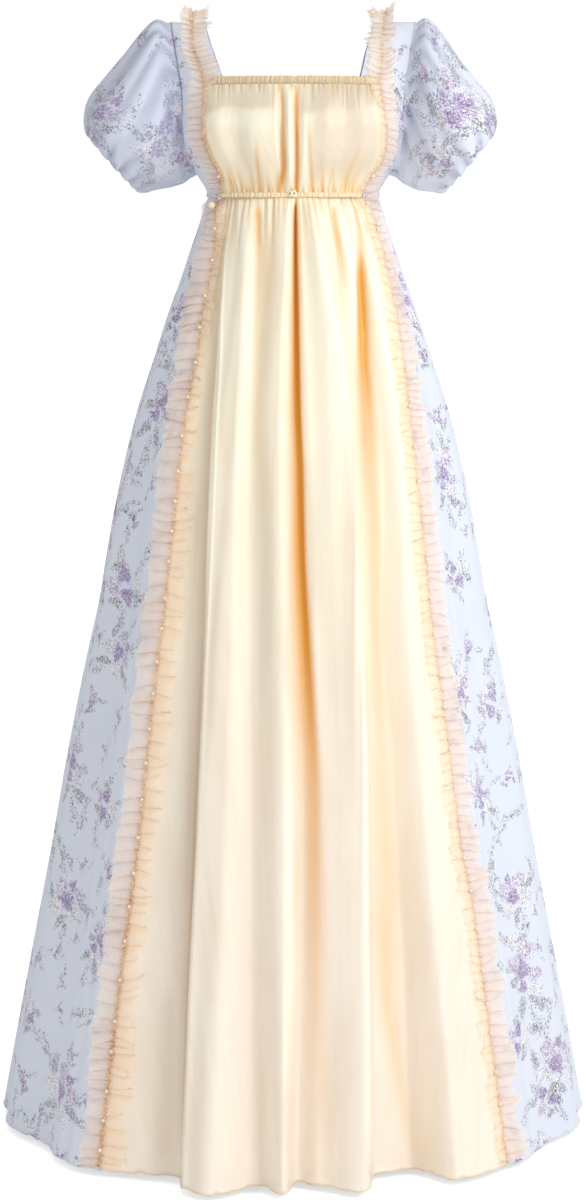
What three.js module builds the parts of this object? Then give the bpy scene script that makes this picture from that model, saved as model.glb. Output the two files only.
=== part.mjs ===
// Empire waist dress, worn shape with no wearer. Millimetres, +Z up, front faces -Y, +X is the left hand of
// someone who looks at the front. The origin is midway between the tops of the shoulder straps.
// _l pieces lie at -X and _r pieces at +X.
//
// Every panel lies on one body surface: plan sections by height (half width, front depth, back depth), pushed in
// and out along its own plan normal by the fold lines. A plan angle of 0 is the centre front, 90 the +X side seam,
// 180 the centre back and 270 the -X side seam.
import * as THREE from 'three';

// ---------------------------------------------------------------- sizes
const WALL = 1.2; // cloth wall
const TULLE_WALL = 1.0; // ruffle wall
const SEAM = 0.3; // gap at each seam
const HEM_Z = -1405; // shoulder top to hem
const NECK_Z = -71; // top of the front neck casing
const NECK_CASING = 10; // height of the neck casing
const WAIST_TOP_Z = -213; // bottom of the bodice
const WAIST_CASING = 5; // height of the corded waist casing
const BACK_NECK_Z = -81; // top of the back bodice at the centre
const UNDERARM_Z = -190;
const RUFFLE_LIFT = 4; // stitch line over the panel below it
const PEARL_R = 4.5;

const NECK_BOTTOM_Z = NECK_Z - NECK_CASING;
const WAIST_LOW_Z = WAIST_TOP_Z - WAIST_CASING;
const SKIRT_TOP_Z = WAIST_LOW_Z - 2 * SEAM;

// ---------------------------------------------------------------- tables
function table(columns, rows) {
  const names = columns.split(' ');
  return rows.map((row) => Object.fromEntries(names.map((n, i) => [n, row[i]])));
}
const lerp = (a, b, t) => a + (b - a) * t;
const rad = (d) => (d * Math.PI) / 180;

// a column of a table by height, straight between its rows (rows go down)
function at(tab, z, column) {
  if (z >= tab[0].z) return tab[0][column];
  for (let i = 1; i < tab.length; i += 1) {
    if (z >= tab[i].z) {
      const t = (tab[i - 1].z - z) / (tab[i - 1].z - tab[i].z);
      return lerp(tab[i - 1][column], tab[i][column], t);
    }
  }
  return tab[tab.length - 1][column];
}

// shoulders to waist
const TORSO = table('z half front back', [
  [0, 170, 0.3, 0.3],
  [-1.5, 170, 11, 12],
  [-5, 170, 22, 24],
  [-12, 169.5, 37, 38],
  [-25, 169, 56, 56],
  [-40, 168, 73, 70],
  [-57, 166, 88, 81],
  [-73, 164, 100, 88],
  [-80, 163, 104, 90],
  [-95, 162, 112, 94],
  [-115, 160, 119, 97],
  [-135, 157, 123, 98],
  [-155, 150, 122, 97],
  [-170, 140, 118, 95],
  [-182, 129, 112, 92],
  [-190, 122, 107, 89],
  [-200, 115, 100, 85],
  [-208, 110, 95, 82],
  [-218, 107, 91, 79.5],
]);
const TORSO_POWER = 2.2;

// waist to hem
const SKIRT = table('z half front back', [
  [-218, 107, 91, 79.5],
  [-224, 109, 97, 86],
  [-236, 113.5, 106, 96],
  [-253, 119, 114, 106],
  [-287, 131, 127, 121],
  [-328, 145, 139, 135],
  [-369, 160, 149, 147],
  [-417, 175, 160, 160],
  [-474, 194, 172, 174],
  [-521, 207, 182, 185],
  [-604, 226, 198, 202],
  [-669, 238, 210, 214],
  [-734, 249, 222, 226],
  [-800, 264, 234, 238],
  [-931, 291, 258, 262],
  [-1065, 315, 282, 284],
  [-1199, 341, 304, 306],
  [-1335, 367, 325, 327],
  [-1405, 380, 335, 337],
]);
const SKIRT_POWER = 2;

// the seam that the ruffle covers, as a plan angle on each side, from the shoulder to the hem
const RUFFLE_SEAM = table('z left right', [
  [0, -46, 41],
  [-25, -46, 38.5],
  [-50, -43, 39],
  [-73, -40, 38.5],
  [-95, -40.3, 40],
  [-117, -41.7, 42.4],
  [-142, -42.9, 45.5],
  [-165, -43.4, 49],
  [-182, -44.5, 52],
  [-195, -46.5, 51],
  [-213, -53, 50.5],
  [-219, -55, 52],
  [-230, -56, 54.5],
  [-253, -52, 56.5],
  [-287, -48, 56],
  [-330, -46.5, 54.5],
  [-365, -45, 52.5],
  [-420, -42.7, 49],
  [-475, -42, 45.6],
  [-600, -40, 42.5],
  [-800, -39.3, 41.5],
  [-1000, -38.4, 41.2],
  [-1085, -38.6, 42.8],
  [-1405, -38.5, 43.3],
]);

// inner edge of each shoulder strap and the armhole edge, as plan angles off the centre front or centre back
const STRAP = table('z innerLeft innerRight armhole', [
  [0, 38.5, 34, 63.5],
  [-12, 37.5, 33.5, 62.5],
  [-25, 36, 32, 61],
  [-40, 34, 30.5, 59.5],
  [-57, 32, 29.5, 58.5],
  [-73, 30, 28.5, 57.8],
  [-95, 30, 28.5, 57],
  [-117, 30, 28.5, 57.8],
  [-142, 30, 28.5, 60],
  [-160, 30, 28.5, 63.5],
  [-172, 30, 28.5, 68],
  [-182, 30, 28.5, 76],
  [-190, 30, 28.5, 90],
]);

// fold lines of the skirt: plan angle and push (out is +) at four heights
const FOLD_Z = [-219, -420, -800, HEM_Z];
const FOLDS = table('name angle0 angle1 angle2 angle3 push0 push1 push2 push3', [
  ['side seam -X', -90, -90, -90, -90, 0, 1, 2, 3],
  ['left side trough', -82, -82, -83, -83, -2, -2, -3, -4],
  ['left side ridge', -75, -74, -76, -76, 2, 2, 2, 3],
  ['left side valley', -66, -62, -60, -60, -3, -5, -9, -14],
  ['left ruffle ridge', -59, -50, -46, -45, 2, 3, 5, 9],
  ['pleat shade', -47, -36, -28, -22.9, -2, -6, -12, -21],
  ['pleat edge', -43, -30, -23, -19.4, 0, 3, 8, 19],
  ['pleat face', -30, -22, -17, -14.9, 2, 5, 9, 30],
  ['soft valley', -21, -16, -11, -6, -3, -5, -7, -14],
  ['centre ridge', -3.5, -5.3, -2.5, -1.7, 4, 7, 10, 20],
  ['centre trough', 1.9, 1.2, 3, 0.8, -9, -11, -13, -31],
  ['centre valley', 5, 6, 7, 5, -3, -3, -4, -15],
  ['right ridge', 10, 18.8, 17.5, 12.5, 4, 6, 9, 17],
  ['right trough', 27, 28, 22, 17.8, -4, -7, -12, -46],
  ['right valley', 33, 34, 26, 25.8, -4, -5, -10, -48],
  ['far ridge', 42, 41, 33, 31, 3, 5, 9, 13],
  ['right ruffle ridge', 60, 55, 48, 47, 2, 2, 3, 4],
  ['right side valley', 67, 64, 61, 61, -3, -4, -6, -9],
  ['right side ridge', 75, 74, 74, 74, 2, 2, 3, 4],
  ['right side trough', 82, 82, 82, 82, -2, -2, -3, -4],
  ['side seam +X', 90, 90, 90, 90, 0, 1, 2, 3],
  ['back trough 1', 100, 99, 99, 99, -3, -4, -7, -12],
  ['back ridge 1', 110, 110, 111, 110, 2, 4, 6, 9],
  ['back trough 2', 122, 120, 120, 121, -4, -6, -11, -18],
  ['back ridge 2', 132, 131, 132, 131, 3, 5, 8, 13],
  ['back trough 3', 143, 143, 141, 142, -3, -4, -6, -11],
  ['back ridge 3', 153, 154, 154, 153, 3, 5, 9, 15],
  ['back trough 4', 166, 166, 164, 165, -5, -8, -14, -26],
  ['back ridge 4', 177, 178, 178, 177, 3, 5, 8, 13],
  ['back trough 5', 188, 189, 188, 188, -5, -8, -13, -23],
  ['back ridge 5', 200, 200, 201, 200, 3, 5, 9, 16],
  ['back trough 6', 212, 213, 213, 213, -3, -5, -9, -15],
  ['back ridge 6', 226, 225, 226, 226, 3, 4, 7, 11],
  ['back trough 7', 238, 238, 239, 239, -4, -6, -11, -19],
  ['back ridge 7', 250, 250, 250, 250, 2, 4, 6, 9],
  ['back trough 8', 261, 261, 261, 261, -3, -4, -6, -9],
  ['side seam -X again', 270, 270, 270, 270, 0, 1, 2, 3],
]);

// gathers of the satin bodice: plan angle at its top and bottom, push at top, middle and bottom
const GATHERS = table('name angleTop angleLow pushTop pushMid pushLow', [
  ['left seam', -39, -52, 0, 0, 0],
  ['left gather', -30, -40, 1, 3, 2],
  ['left hollow', -22, -28, -1, -2, -2],
  ['left swell', -13, -14, 1, 4, 1],
  ['left lip', -7, -6.5, 0, 2, 0],
  ['left pleat', -4.2, -3.8, -2, -6, -3],
  ['pleat ridge', -1.4, -1.4, 1, 2, 1],
  ['right pleat', 1.3, 1.3, -2, -6, -3],
  ['right lip', 4.5, 4, 0, 2, 0],
  ['right swell', 12, 13, 1, 4, 1],
  ['right hollow', 21, 26, -1, -2, -2],
  ['right gather', 30, 39, 1, 3, 2],
  ['right seam', 39, 50, 0, 0, 0],
]);

// sleeve rings from the armhole to the elastic: outer and inner point as seen from the front, depth to the front
// and to the back, and how deep its gathers are
const SLEEVE = table('outX outZ inX inZ front back gather', [
  [172, 4, 131, -195, 72, 61, 0.8],
  [190, -12, 139, -201, 88, 78, 1.6],
  [212, -40, 150, -205, 99, 91, 2.6],
  [236, -69, 163, -209, 104, 97, 3],
  [258, -95, 179, -212, 102, 97, 3],
  [265, -119, 188, -214, 96, 92, 3.4],
  [262, -138, 196, -213, 87, 85, 4],
  [252, -142, 196, -204, 64, 63, 3],
  [245, -136, 192, -195, 45, 45, 1.2],
]);
const SLEEVE_REACH = { left: 1, right: 0.972 };

// the ruffle: how far each wing reaches from its stitch line and how far it stands off
const RUFFLE = table('z outer inner stand', [
  [0, 13, 17, 17],
  [-12, 13, 18, 15],
  [-40, 13, 19, 11],
  [-73, 15, 19, 10],
  [-100, 22, 12, 9],
  [-150, 23, 11, 9],
  [-190, 22, 10, 9],
  [-219, 20, 11, 11],
  [-250, 20, 15, 12],
  [-340, 22, 17, 12],
  [-500, 27, 14, 12],
  [-700, 27, 24, 12],
  [-1000, 24, 20, 13],
  [HEM_Z, 24, 24, 14],
]);
const FLUTES = 28; // ruffle waves from shoulder to hem

// rows that neighbouring pieces share, so their seams run side by side
const BODICE_ROWS = [-213, -206, -198, -190, -182, -172, -158, -141, -118, -97, NECK_BOTTOM_Z];
const STRAP_ROWS = [NECK_Z, -57, -40, -25, -12, -5, -1.5, 0];
const SKIRT_ROWS = [SKIRT_TOP_Z, -228, -245, -275, -330, -420, -540, -680, -800, -1000, -1200, HEM_Z];

// ---------------------------------------------------------------- body surface
const skirtAt = (z) => z < (WAIST_TOP_Z + WAIST_LOW_Z) / 2;

function section(z) {
  const tab = skirtAt(z) ? SKIRT : TORSO;
  return {
    half: at(tab, z, 'half'),
    front: at(tab, z, 'front'),
    back: at(tab, z, 'back'),
    power: skirtAt(z) ? SKIRT_POWER : TORSO_POWER,
  };
}

const signed = (v, p) => Math.sign(v) * Math.abs(v) ** p;

function plan(angle, z) {
  const s = section(z);
  const c = Math.cos(rad(angle));
  const depth = c >= 0 ? s.front : s.back;
  return new THREE.Vector2(
    s.half * signed(Math.sin(rad(angle)), 2 / s.power),
    -depth * signed(c, 2 / s.power),
  );
}

// smooth push between two neighbouring fold lines
const ease = (t) => 0.5 - 0.5 * Math.cos(Math.PI * Math.min(1, Math.max(0, t)));

function foldAngle(fold, z) {
  for (let i = 1; i < FOLD_Z.length; i += 1) {
    if (z >= FOLD_Z[i]) {
      const t = Math.max(0, (FOLD_Z[i - 1] - z) / (FOLD_Z[i - 1] - FOLD_Z[i]));
      return lerp(fold[`angle${i - 1}`], fold[`angle${i}`], t);
    }
  }
  return fold.angle3;
}
function foldPush(fold, z) {
  for (let i = 1; i < FOLD_Z.length; i += 1) {
    if (z >= FOLD_Z[i]) {
      const t = Math.max(0, (FOLD_Z[i - 1] - z) / (FOLD_Z[i - 1] - FOLD_Z[i]));
      return lerp(fold[`push${i - 1}`], fold[`push${i}`], t);
    }
  }
  return fold.push3;
}

function push(angle, z) {
  let a = angle;
  while (a < -90) a += 360;
  while (a > 270) a -= 360;
  if (skirtAt(z)) {
    for (let i = 1; i < FOLDS.length; i += 1) {
      const hi = foldAngle(FOLDS[i], z);
      if (a <= hi) {
        const lo = foldAngle(FOLDS[i - 1], z);
        const top = Math.min(1, (WAIST_LOW_Z - z) / 14); // the seam itself lies flat
        return top * lerp(foldPush(FOLDS[i - 1], z), foldPush(FOLDS[i], z), ease((a - lo) / (hi - lo)));
      }
    }
    return 0;
  }
  if (z > NECK_BOTTOM_Z || Math.abs(a) > 60) return 0;
  const t = (NECK_BOTTOM_Z - z) / (NECK_BOTTOM_Z - WAIST_TOP_Z);
  const line = (g) => lerp(g.angleTop, g.angleLow, t);
  const depth = (g) =>
    t < 0.5 ? lerp(g.pushTop, g.pushMid, ease(t * 2)) : lerp(g.pushMid, g.pushLow, ease(t * 2 - 1));
  const edge = Math.min(1, (1 - t) * 8, t * 8);
  for (let i = 1; i < GATHERS.length; i += 1) {
    if (a <= line(GATHERS[i]) && a >= line(GATHERS[i - 1])) {
      const lo = line(GATHERS[i - 1]);
      return edge * lerp(depth(GATHERS[i - 1]), depth(GATHERS[i]), ease((a - lo) / (line(GATHERS[i]) - lo)));
    }
  }
  return 0;
}

function planNormal(angle, z) {
  const a = plan(angle - 0.5, z);
  const b = plan(angle + 0.5, z);
  return new THREE.Vector2(b.y - a.y, -(b.x - a.x)).normalize();
}

function body(angle, z) {
  const p = plan(angle, z);
  const d = push(angle, z);
  if (d) p.addScaledVector(planNormal(angle, z), d);
  return new THREE.Vector3(p.x, p.y, z);
}

// millimetres of cloth per degree of plan angle
const perDegree = (angle, z) => body(angle - 0.5, z).distanceTo(body(angle + 0.5, z));

// outward direction of the cloth; level at a seam that runs round the body, straight up at the shoulder seam
function outward(angle, z, level = false) {
  if (z > -0.01) return new THREE.Vector3(0, 0, 1);
  const side = body(angle + 0.4, z).sub(body(angle - 0.4, z));
  const step = z > -6 ? 0.3 : 1.5;
  const lo = skirtAt(z) ? Math.max(z - step, HEM_Z) : Math.max(z - step, WAIST_TOP_Z);
  const hi = skirtAt(z) ? Math.min(z + step, WAIST_LOW_Z) : Math.min(z + step, 0);
  const up = body(angle, hi).sub(body(angle, lo));
  const n = side.cross(up).normalize();
  if (level) n.setZ(0).normalize();
  return n;
}

// ---------------------------------------------------------------- walls
// A sheet with both faces and its rims: points[i][j], outward directions, and where there is cloth.
function wall(points, normals, thick, has = () => true, closed = false) {
  const rows = points.length;
  const cols = points[0].length;
  const cells = closed ? cols : cols - 1;
  const xyz = [];
  for (const side of [0.5, -0.5]) {
    for (let i = 0; i < rows; i += 1) {
      for (let j = 0; j < cols; j += 1) {
        const p = points[i][j].clone().addScaledVector(normals[i][j], side * thick);
        xyz.push(p.x, p.y, p.z);
      }
    }
  }
  const outer = (i, j) => i * cols + (j % cols);
  const inner = (i, j) => rows * cols + outer(i, j);
  const on = (i, j) => i >= 0 && i < rows - 1 && (closed || (j >= 0 && j < cells)) && has(i, (j + cols) % cols);
  const index = [];
  const quad = (a, b, c, d) => index.push(a, b, c, a, c, d);
  for (let i = 0; i < rows - 1; i += 1) {
    for (let j = 0; j < cells; j += 1) {
      if (!on(i, j)) continue;
      quad(outer(i, j), outer(i, j + 1), outer(i + 1, j + 1), outer(i + 1, j));
      quad(inner(i, j), inner(i + 1, j), inner(i + 1, j + 1), inner(i, j + 1));
      if (!on(i - 1, j)) quad(outer(i, j), inner(i, j), inner(i, j + 1), outer(i, j + 1));
      if (!on(i + 1, j)) quad(outer(i + 1, j + 1), inner(i + 1, j + 1), inner(i + 1, j), outer(i + 1, j));
      if (!on(i, j - 1)) quad(outer(i + 1, j), inner(i + 1, j), inner(i, j), outer(i, j));
      if (!on(i, j + 1)) quad(outer(i, j + 1), inner(i, j + 1), inner(i + 1, j + 1), outer(i + 1, j + 1));
    }
  }
  const used = new Map();
  const kept = [];
  const packed = index.map((k) => {
    if (!used.has(k)) {
      used.set(k, used.size);
      kept.push(xyz[3 * k], xyz[3 * k + 1], xyz[3 * k + 2]);
    }
    return used.get(k);
  });
  // face outward whichever way the grid ran
  let volume = 0;
  const v = (k) => new THREE.Vector3(kept[3 * k], kept[3 * k + 1], kept[3 * k + 2]);
  for (let k = 0; k < packed.length; k += 3) volume += v(packed[k]).dot(v(packed[k + 1]).cross(v(packed[k + 2])));
  if (volume < 0) for (let k = 0; k < packed.length; k += 3) [packed[k], packed[k + 1]] = [packed[k + 1], packed[k]];
  const geometry = new THREE.BufferGeometry();
  geometry.setAttribute('position', new THREE.Float32BufferAttribute(kept, 3));
  geometry.setIndex(packed);
  geometry.computeVertexNormals();
  return geometry;
}

const dress = new THREE.Group();
dress.name = 'empire_waist_dress';

const SATIN = { color: 0xf3e6cf, roughness: 0.42, metalness: 0 };
const PRINT = { color: 0xcdd6e2, roughness: 0.85, metalness: 0 };
const TULLE = { color: 0xe8cdb9, roughness: 0.8, metalness: 0 };
const PEARL = { color: 0xf1e3d2, roughness: 0.25, metalness: 0 };

function add(name, geometry, look) {
  const mesh = new THREE.Mesh(geometry, new THREE.MeshStandardMaterial({ ...look, name: `${name}_cloth` }));
  mesh.name = name;
  dress.add(mesh);
}

// A panel on the body surface. lines(z) gives the plan angles of its columns at a height; the first and last are
// drawn in by half a seam, and so is each row that is a level seam.
function panel(rows, lines, levelRows, has) {
  const points = [];
  const normals = [];
  for (const z of rows) {
    const angles = lines(z);
    const level = levelRows.includes(z);
    points.push(angles.map((angle, j) => {
      const draw = (SEAM / 2 / perDegree(angle, z)) * (j === 0 ? 1 : j === angles.length - 1 ? -1 : 0);
      const p = body(angle + draw, z);
      return p;
    }));
    normals.push(angles.map((angle) => outward(angle, z, level)));
  }
  return wall(points, normals, WALL, has);
}

// columns between fold lines, each stretch cut into equal steps
const steps = (angles, each) =>
  angles.flatMap((a, i) => (i ? Array.from({ length: each }, (_, k) => lerp(angles[i - 1], a, (k + 1) / each)) : [a]));

const seamLeft = (z) => at(RUFFLE_SEAM, z, 'left');
const seamRight = (z) => at(RUFFLE_SEAM, z, 'right');

// skirt
const named = (first, last) => {
  const from = FOLDS.findIndex((f) => f.name === first);
  const to = FOLDS.findIndex((f) => f.name === last);
  return FOLDS.slice(from, to + 1);
};
const frontFolds = named('pleat shade', 'far ridge');
const leftFolds = named('left side trough', 'left ruffle ridge');
const rightFolds = named('right ruffle ridge', 'right side trough');
const backRightFolds = named('back trough 1', 'back ridge 4');
const backLeftFolds = named('back trough 5', 'back trough 8');
const linesOf = (folds, z) => folds.map((f) => foldAngle(f, z));

add('skirt_front', panel(SKIRT_ROWS, (z) => steps([seamLeft(z), ...linesOf(frontFolds, z), seamRight(z)], 2), [SKIRT_TOP_Z, HEM_Z]), SATIN);
add('skirt_side_l', panel(SKIRT_ROWS, (z) => steps([-90, ...linesOf(leftFolds, z), seamLeft(z)], 2), [SKIRT_TOP_Z, HEM_Z]), PRINT);
add('skirt_side_r', panel(SKIRT_ROWS, (z) => steps([seamRight(z), ...linesOf(rightFolds, z), 90], 2), [SKIRT_TOP_Z, HEM_Z]), PRINT);
add('skirt_back_r', panel(SKIRT_ROWS, (z) => steps([90, ...linesOf(backRightFolds, z), 180], 1), [SKIRT_TOP_Z, HEM_Z]), PRINT);
add('skirt_back_l', panel(SKIRT_ROWS, (z) => steps([180, ...linesOf(backLeftFolds, z), 270], 1), [SKIRT_TOP_Z, HEM_Z]), PRINT);

// corded waist casing: satin in front, print round the sides and back
const waistRows = [WAIST_TOP_Z - SEAM, WAIST_LOW_Z - 0];
const casing = (rows, from, to, count, seamRow) => {
  const angles = steps([from, to], count);
  const points = rows.map((z) => angles.map((angle, j) => {
    const draw = (SEAM / 2 / perDegree(angle, seamRow)) * (j === 0 ? 1 : j === count ? -1 : 0);
    const p = plan(angle + draw, seamRow);
    return new THREE.Vector3(p.x, p.y, z);
  }));
  const normals = rows.map(() => angles.map((angle) => outward(angle, seamRow, true)));
  return wall(points, normals, 2, undefined);
};
add('waist_casing_front', casing(waistRows, -54, 51, 20, WAIST_TOP_Z), SATIN);
add('waist_casing_back', casing(waistRows, 51, 306, 30, WAIST_TOP_Z), PRINT);

// satin bodice and its neck casing
const gatherLines = (z) => {
  const t = Math.min(1, Math.max(0, (NECK_BOTTOM_Z - z) / (NECK_BOTTOM_Z - WAIST_TOP_Z)));
  return GATHERS.slice(1, -1).map((g) => lerp(g.angleTop, g.angleLow, t));
};
const frontRows = [...BODICE_ROWS.slice(0, -1), NECK_BOTTOM_Z - SEAM];
add('bodice_front', panel(frontRows, (z) => steps([seamLeft(z), ...gatherLines(z), seamRight(z)], 1), [WAIST_TOP_Z, NECK_BOTTOM_Z - SEAM]), SATIN);
add('neck_casing_front', panel([NECK_BOTTOM_Z, NECK_Z - SEAM], (z) => steps([seamLeft(z), seamRight(z)], 14), [NECK_BOTTOM_Z, NECK_Z - SEAM]), SATIN);

// side fronts, each in one with its strap: outside the ruffle seam from waist to shoulder, inside it only above
// the neckline
const sideRows = [...BODICE_ROWS, ...STRAP_ROWS];
const neckRow = sideRows.indexOf(NECK_Z);
const armLine = (z) => at(STRAP, z, 'armhole');
function sideFront(side) {
  const left = side === 'left';
  const sign = left ? -1 : 1;
  const stitch = (z) => Math.abs(left ? seamLeft(z) : seamRight(z));
  const inner = (z) => at(STRAP, z, left ? 'innerLeft' : 'innerRight');
  const outerSteps = 4;
  const innerSteps = 1;
  const lines = (z) => {
    const edge = z < UNDERARM_Z ? 90 : armLine(z);
    return [...steps([edge, stitch(z)], outerSteps), ...steps([stitch(z), inner(z)], innerSteps).slice(1)].map((a) => sign * a);
  };
  const points = [];
  const normals = [];
  for (const z of sideRows) {
    const angles = lines(z);
    points.push(angles.map((angle, j) => {
      const toward = Math.sign(angles[0] - angles[angles.length - 1]); // + when the outer edge has the larger angle
      let draw = 0;
      if (j === 0) draw = -1;
      if (j === outerSteps && z < NECK_Z + 0.01) draw = 1;
      if (z === NECK_Z && j === outerSteps) draw = 1;
      return body(angle + (toward * draw * SEAM) / 2 / perDegree(angle, z), z);
    }));
    normals.push(angles.map((angle) => outward(angle, z, z === WAIST_TOP_Z || z === NECK_Z)));
  }
  return wall(points, normals, WALL, (i, j) => j < outerSteps || i >= neckRow);
}
add('bodice_side_l', sideFront('left'), PRINT);
add('bodice_side_r', sideFront('right'), PRINT);

// back bodice, in one with both back straps
const backRows = [...BODICE_ROWS.slice(0, -1), BACK_NECK_Z, NECK_Z, ...STRAP_ROWS.slice(1)];
const backNeckRow = backRows.indexOf(BACK_NECK_Z);
{
  const outerSteps = 4;
  const middleSteps = 6;
  const lines = (z) => {
    const edge = z < UNDERARM_Z ? 90 : armLine(z);
    const l = at(STRAP, z, 'innerLeft');
    const r = at(STRAP, z, 'innerRight');
    return [
      ...steps([180 - edge, 180 - r], outerSteps),
      ...steps([180 - r, 180 + l], middleSteps).slice(1),
      ...steps([180 + l, 180 + edge], outerSteps).slice(1),
    ];
  };
  const onStrap = (j) => j < outerSteps || j >= outerSteps + middleSteps;
  add('bodice_back', panel(backRows, lines, [WAIST_TOP_Z], (i, j) => onStrap(j) || i < backNeckRow), PRINT);
}

// ---------------------------------------------------------------- sleeves
function sleeve(side) {
  const sign = side === 'left' ? -1 : 1;
  const reach = SLEEVE_REACH[side];
  const rowsUp = sideRows.filter((z) => z >= UNDERARM_Z);
  const away = 1.2; // ring 0 stands this far off the armhole edge
  // up the front from the underarm to the shoulder, then down the back
  const rim = [
    ...rowsUp.map((z) => [sign * armLine(z), z]),
    ...[...rowsUp].reverse().slice(1, -1).map((z) => [sign * (180 - armLine(z)), z]),
  ].map(([angle, z]) => ({ p: body(angle, z), n: outward(angle, z) }));
  // off the panel, square to its edge and along the cloth; the turn is settled once, on the front edge
  const square = (i) => rim[(i + 1) % rim.length].p.clone()
    .sub(rim[(i + rim.length - 1) % rim.length].p).cross(rim[i].n).normalize();
  const turned = square(Math.floor(rim.length / 4)).x * sign > 0 ? 1 : -1;
  const loop = rim.map((q, i) => ({ p: q.p.clone().addScaledVector(square(i), away * turned), n: q.n }));
  const n0 = loop.length;
  const shoulder = rowsUp.length - 1;
  // turn of each point round the sleeve: 180 at the underarm, 0 at the shoulder, by length along the armhole
  const lengths = loop.map((q, i) => (i ? q.p.distanceTo(loop[i - 1].p) : 0));
  const sum = (a, b) => lengths.slice(a, b + 1).reduce((s, v) => s + v, 0);
  const frontLength = sum(1, shoulder);
  const backLength = sum(shoulder + 1, n0 - 1) + loop[n0 - 1].p.distanceTo(loop[0].p);
  const turn = loop.map((q, i) =>
    i <= shoulder ? 180 - (180 * sum(1, i)) / frontLength : -(180 * sum(shoulder + 1, i)) / backLength);
  const rings = [loop.map((q) => q.p)];
  SLEEVE.forEach((row, k) => {
    const out = new THREE.Vector3(sign * row.outX * reach, 0, row.outZ);
    const inn = new THREE.Vector3(sign * lerp(row.inX, row.inX * reach, k / (SLEEVE.length - 1)), 0, row.inZ);
    const mid = out.clone().add(inn).multiplyScalar(0.5);
    const arm = out.clone().sub(inn).multiplyScalar(0.5);
    const across = arm.clone().normalize();
    rings.push(turn.map((a, j) => {
      const wave = row.gather * (j % 2 ? -1 : 1) * (0.8 + 0.35 * Math.sin(j * 2.3 + 1));
      const c = Math.cos(rad(a));
      const s = Math.sin(rad(a));
      return mid.clone().addScaledVector(arm, c).add(new THREE.Vector3(0, -(s > 0 ? row.front : row.back) * s, 0))
        .addScaledVector(across, wave * c).add(new THREE.Vector3(0, -wave * s, 0));
    }));
  });
  const rows = rings.length;
  const normals = rings.map((ring, i) => ring.map((p, j) => {
    const around = ring[(j + 1) % n0].clone().sub(ring[(j + n0 - 1) % n0]);
    const along = rings[Math.min(rows - 1, i + 1)][j].clone().sub(rings[Math.max(0, i - 1)][j]);
    return around.cross(along).normalize().multiplyScalar(-sign);
  }));
  // outward is away from the ring's middle on the widest ring
  const wide = rings[4];
  const middle = wide.reduce((s, p) => s.add(p), new THREE.Vector3()).multiplyScalar(1 / n0);
  if (normals[4][shoulder].dot(wide[shoulder].clone().sub(middle)) < 0) normals.forEach((r) => r.forEach((n) => n.negate()));
  return wall(rings, normals, WALL, undefined, true);
}
add('sleeve_l', sleeve('left'), PRINT);
add('sleeve_r', sleeve('right'), PRINT);

// ---------------------------------------------------------------- ruffles
// A point over the faceted panels: the body surface taken at their own rows, straight in between.
const ALL_ROWS = [...sideRows].reverse().concat(SKIRT_ROWS);
function facet(line, z) {
  let i = ALL_ROWS.findIndex((r) => r <= z);
  if (i < 0) i = ALL_ROWS.length - 1;
  if (i === 0) i = 1;
  const [a, b] = [ALL_ROWS[i - 1], ALL_ROWS[i]];
  const t = (a - z) / (a - b);
  const at0 = line(a);
  const at1 = line(b);
  const level = z < NECK_Z; // below the neckline the ruffle stands off level, so its rows don't cross at the waist
  return {
    p: body(at0, a).lerp(body(at1, b), t),
    n: outward(at0, a, level).lerp(outward(at1, b, level), t).normalize(),
  };
}
function ruffleStations() {
  const list = [];
  const bend = [0, -0.8, -3, -8, -16];
  const length = (z) => (z > -16 ? 0 : (-16 - z) / (-16 - HEM_Z));
  const count = FLUTES * 2;
  for (let k = 0; k <= count; k += 1) {
    const z = -16 - (k / count) * (-16 - HEM_Z);
    if (length(z) >= 0) list.push(z);
  }
  return [...bend.slice(0, -1), ...list];
}
function ruffle(side) {
  const left = side === 'left';
  const sign = left ? -1 : 1;
  const seam = left ? seamLeft : seamRight;
  const points = [];
  const normals = [];
  const stations = ruffleStations();
  stations.forEach((z, k) => {
    const wave = 1 + 0.42 * (k % 2 ? 1 : -1) * (0.75 + 0.35 * Math.sin(k * 1.9));
    const wave2 = 1 - 0.42 * (k % 2 ? 1 : -1) * (0.75 + 0.35 * Math.sin(k * 2.7 + 1));
    const stand = at(RUFFLE, z, 'stand');
    const reach = [
      { w: at(RUFFLE, z, 'outer'), lift: RUFFLE_LIFT + stand * wave },
      { w: at(RUFFLE, z, 'outer') * 0.5, lift: RUFFLE_LIFT + stand * 0.42 * wave },
      { w: 0, lift: RUFFLE_LIFT },
      { w: -at(RUFFLE, z, 'inner') * 0.5, lift: RUFFLE_LIFT + stand * 0.42 * wave2 },
      { w: -at(RUFFLE, z, 'inner'), lift: RUFFLE_LIFT + stand * wave2 },
    ];
    const row = reach.map(({ w, lift }) => {
      const line = (h) => {
        let a = seam(h) + (sign * w) / perDegree(seam(h), h);
        const limit = armLine(h) - 2;
        if (h > UNDERARM_Z && Math.abs(a) > limit) a = sign * limit;
        return a;
      };
      const q = facet(line, z);
      return q.p.addScaledVector(q.n, lift);
    });
    points.push(row);
  });
  points.forEach((row, i) => {
    normals.push(row.map((p, j) => {
      const across = row[Math.min(4, j + 1)].clone().sub(row[Math.max(0, j - 1)]);
      const along = points[Math.min(points.length - 1, i + 1)][j].clone().sub(points[Math.max(0, i - 1)][j]);
      return across.cross(along).normalize();
    }));
  });
  const stitch = points.map((row) => row[2]);
  return { geometry: wall(points, normals, TULLE_WALL), stitch };
}
const ruffleLeft = ruffle('left');
const ruffleRight = ruffle('right');
add('ruffle_l', ruffleLeft.geometry, TULLE);
add('ruffle_r', ruffleRight.geometry, TULLE);

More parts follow.
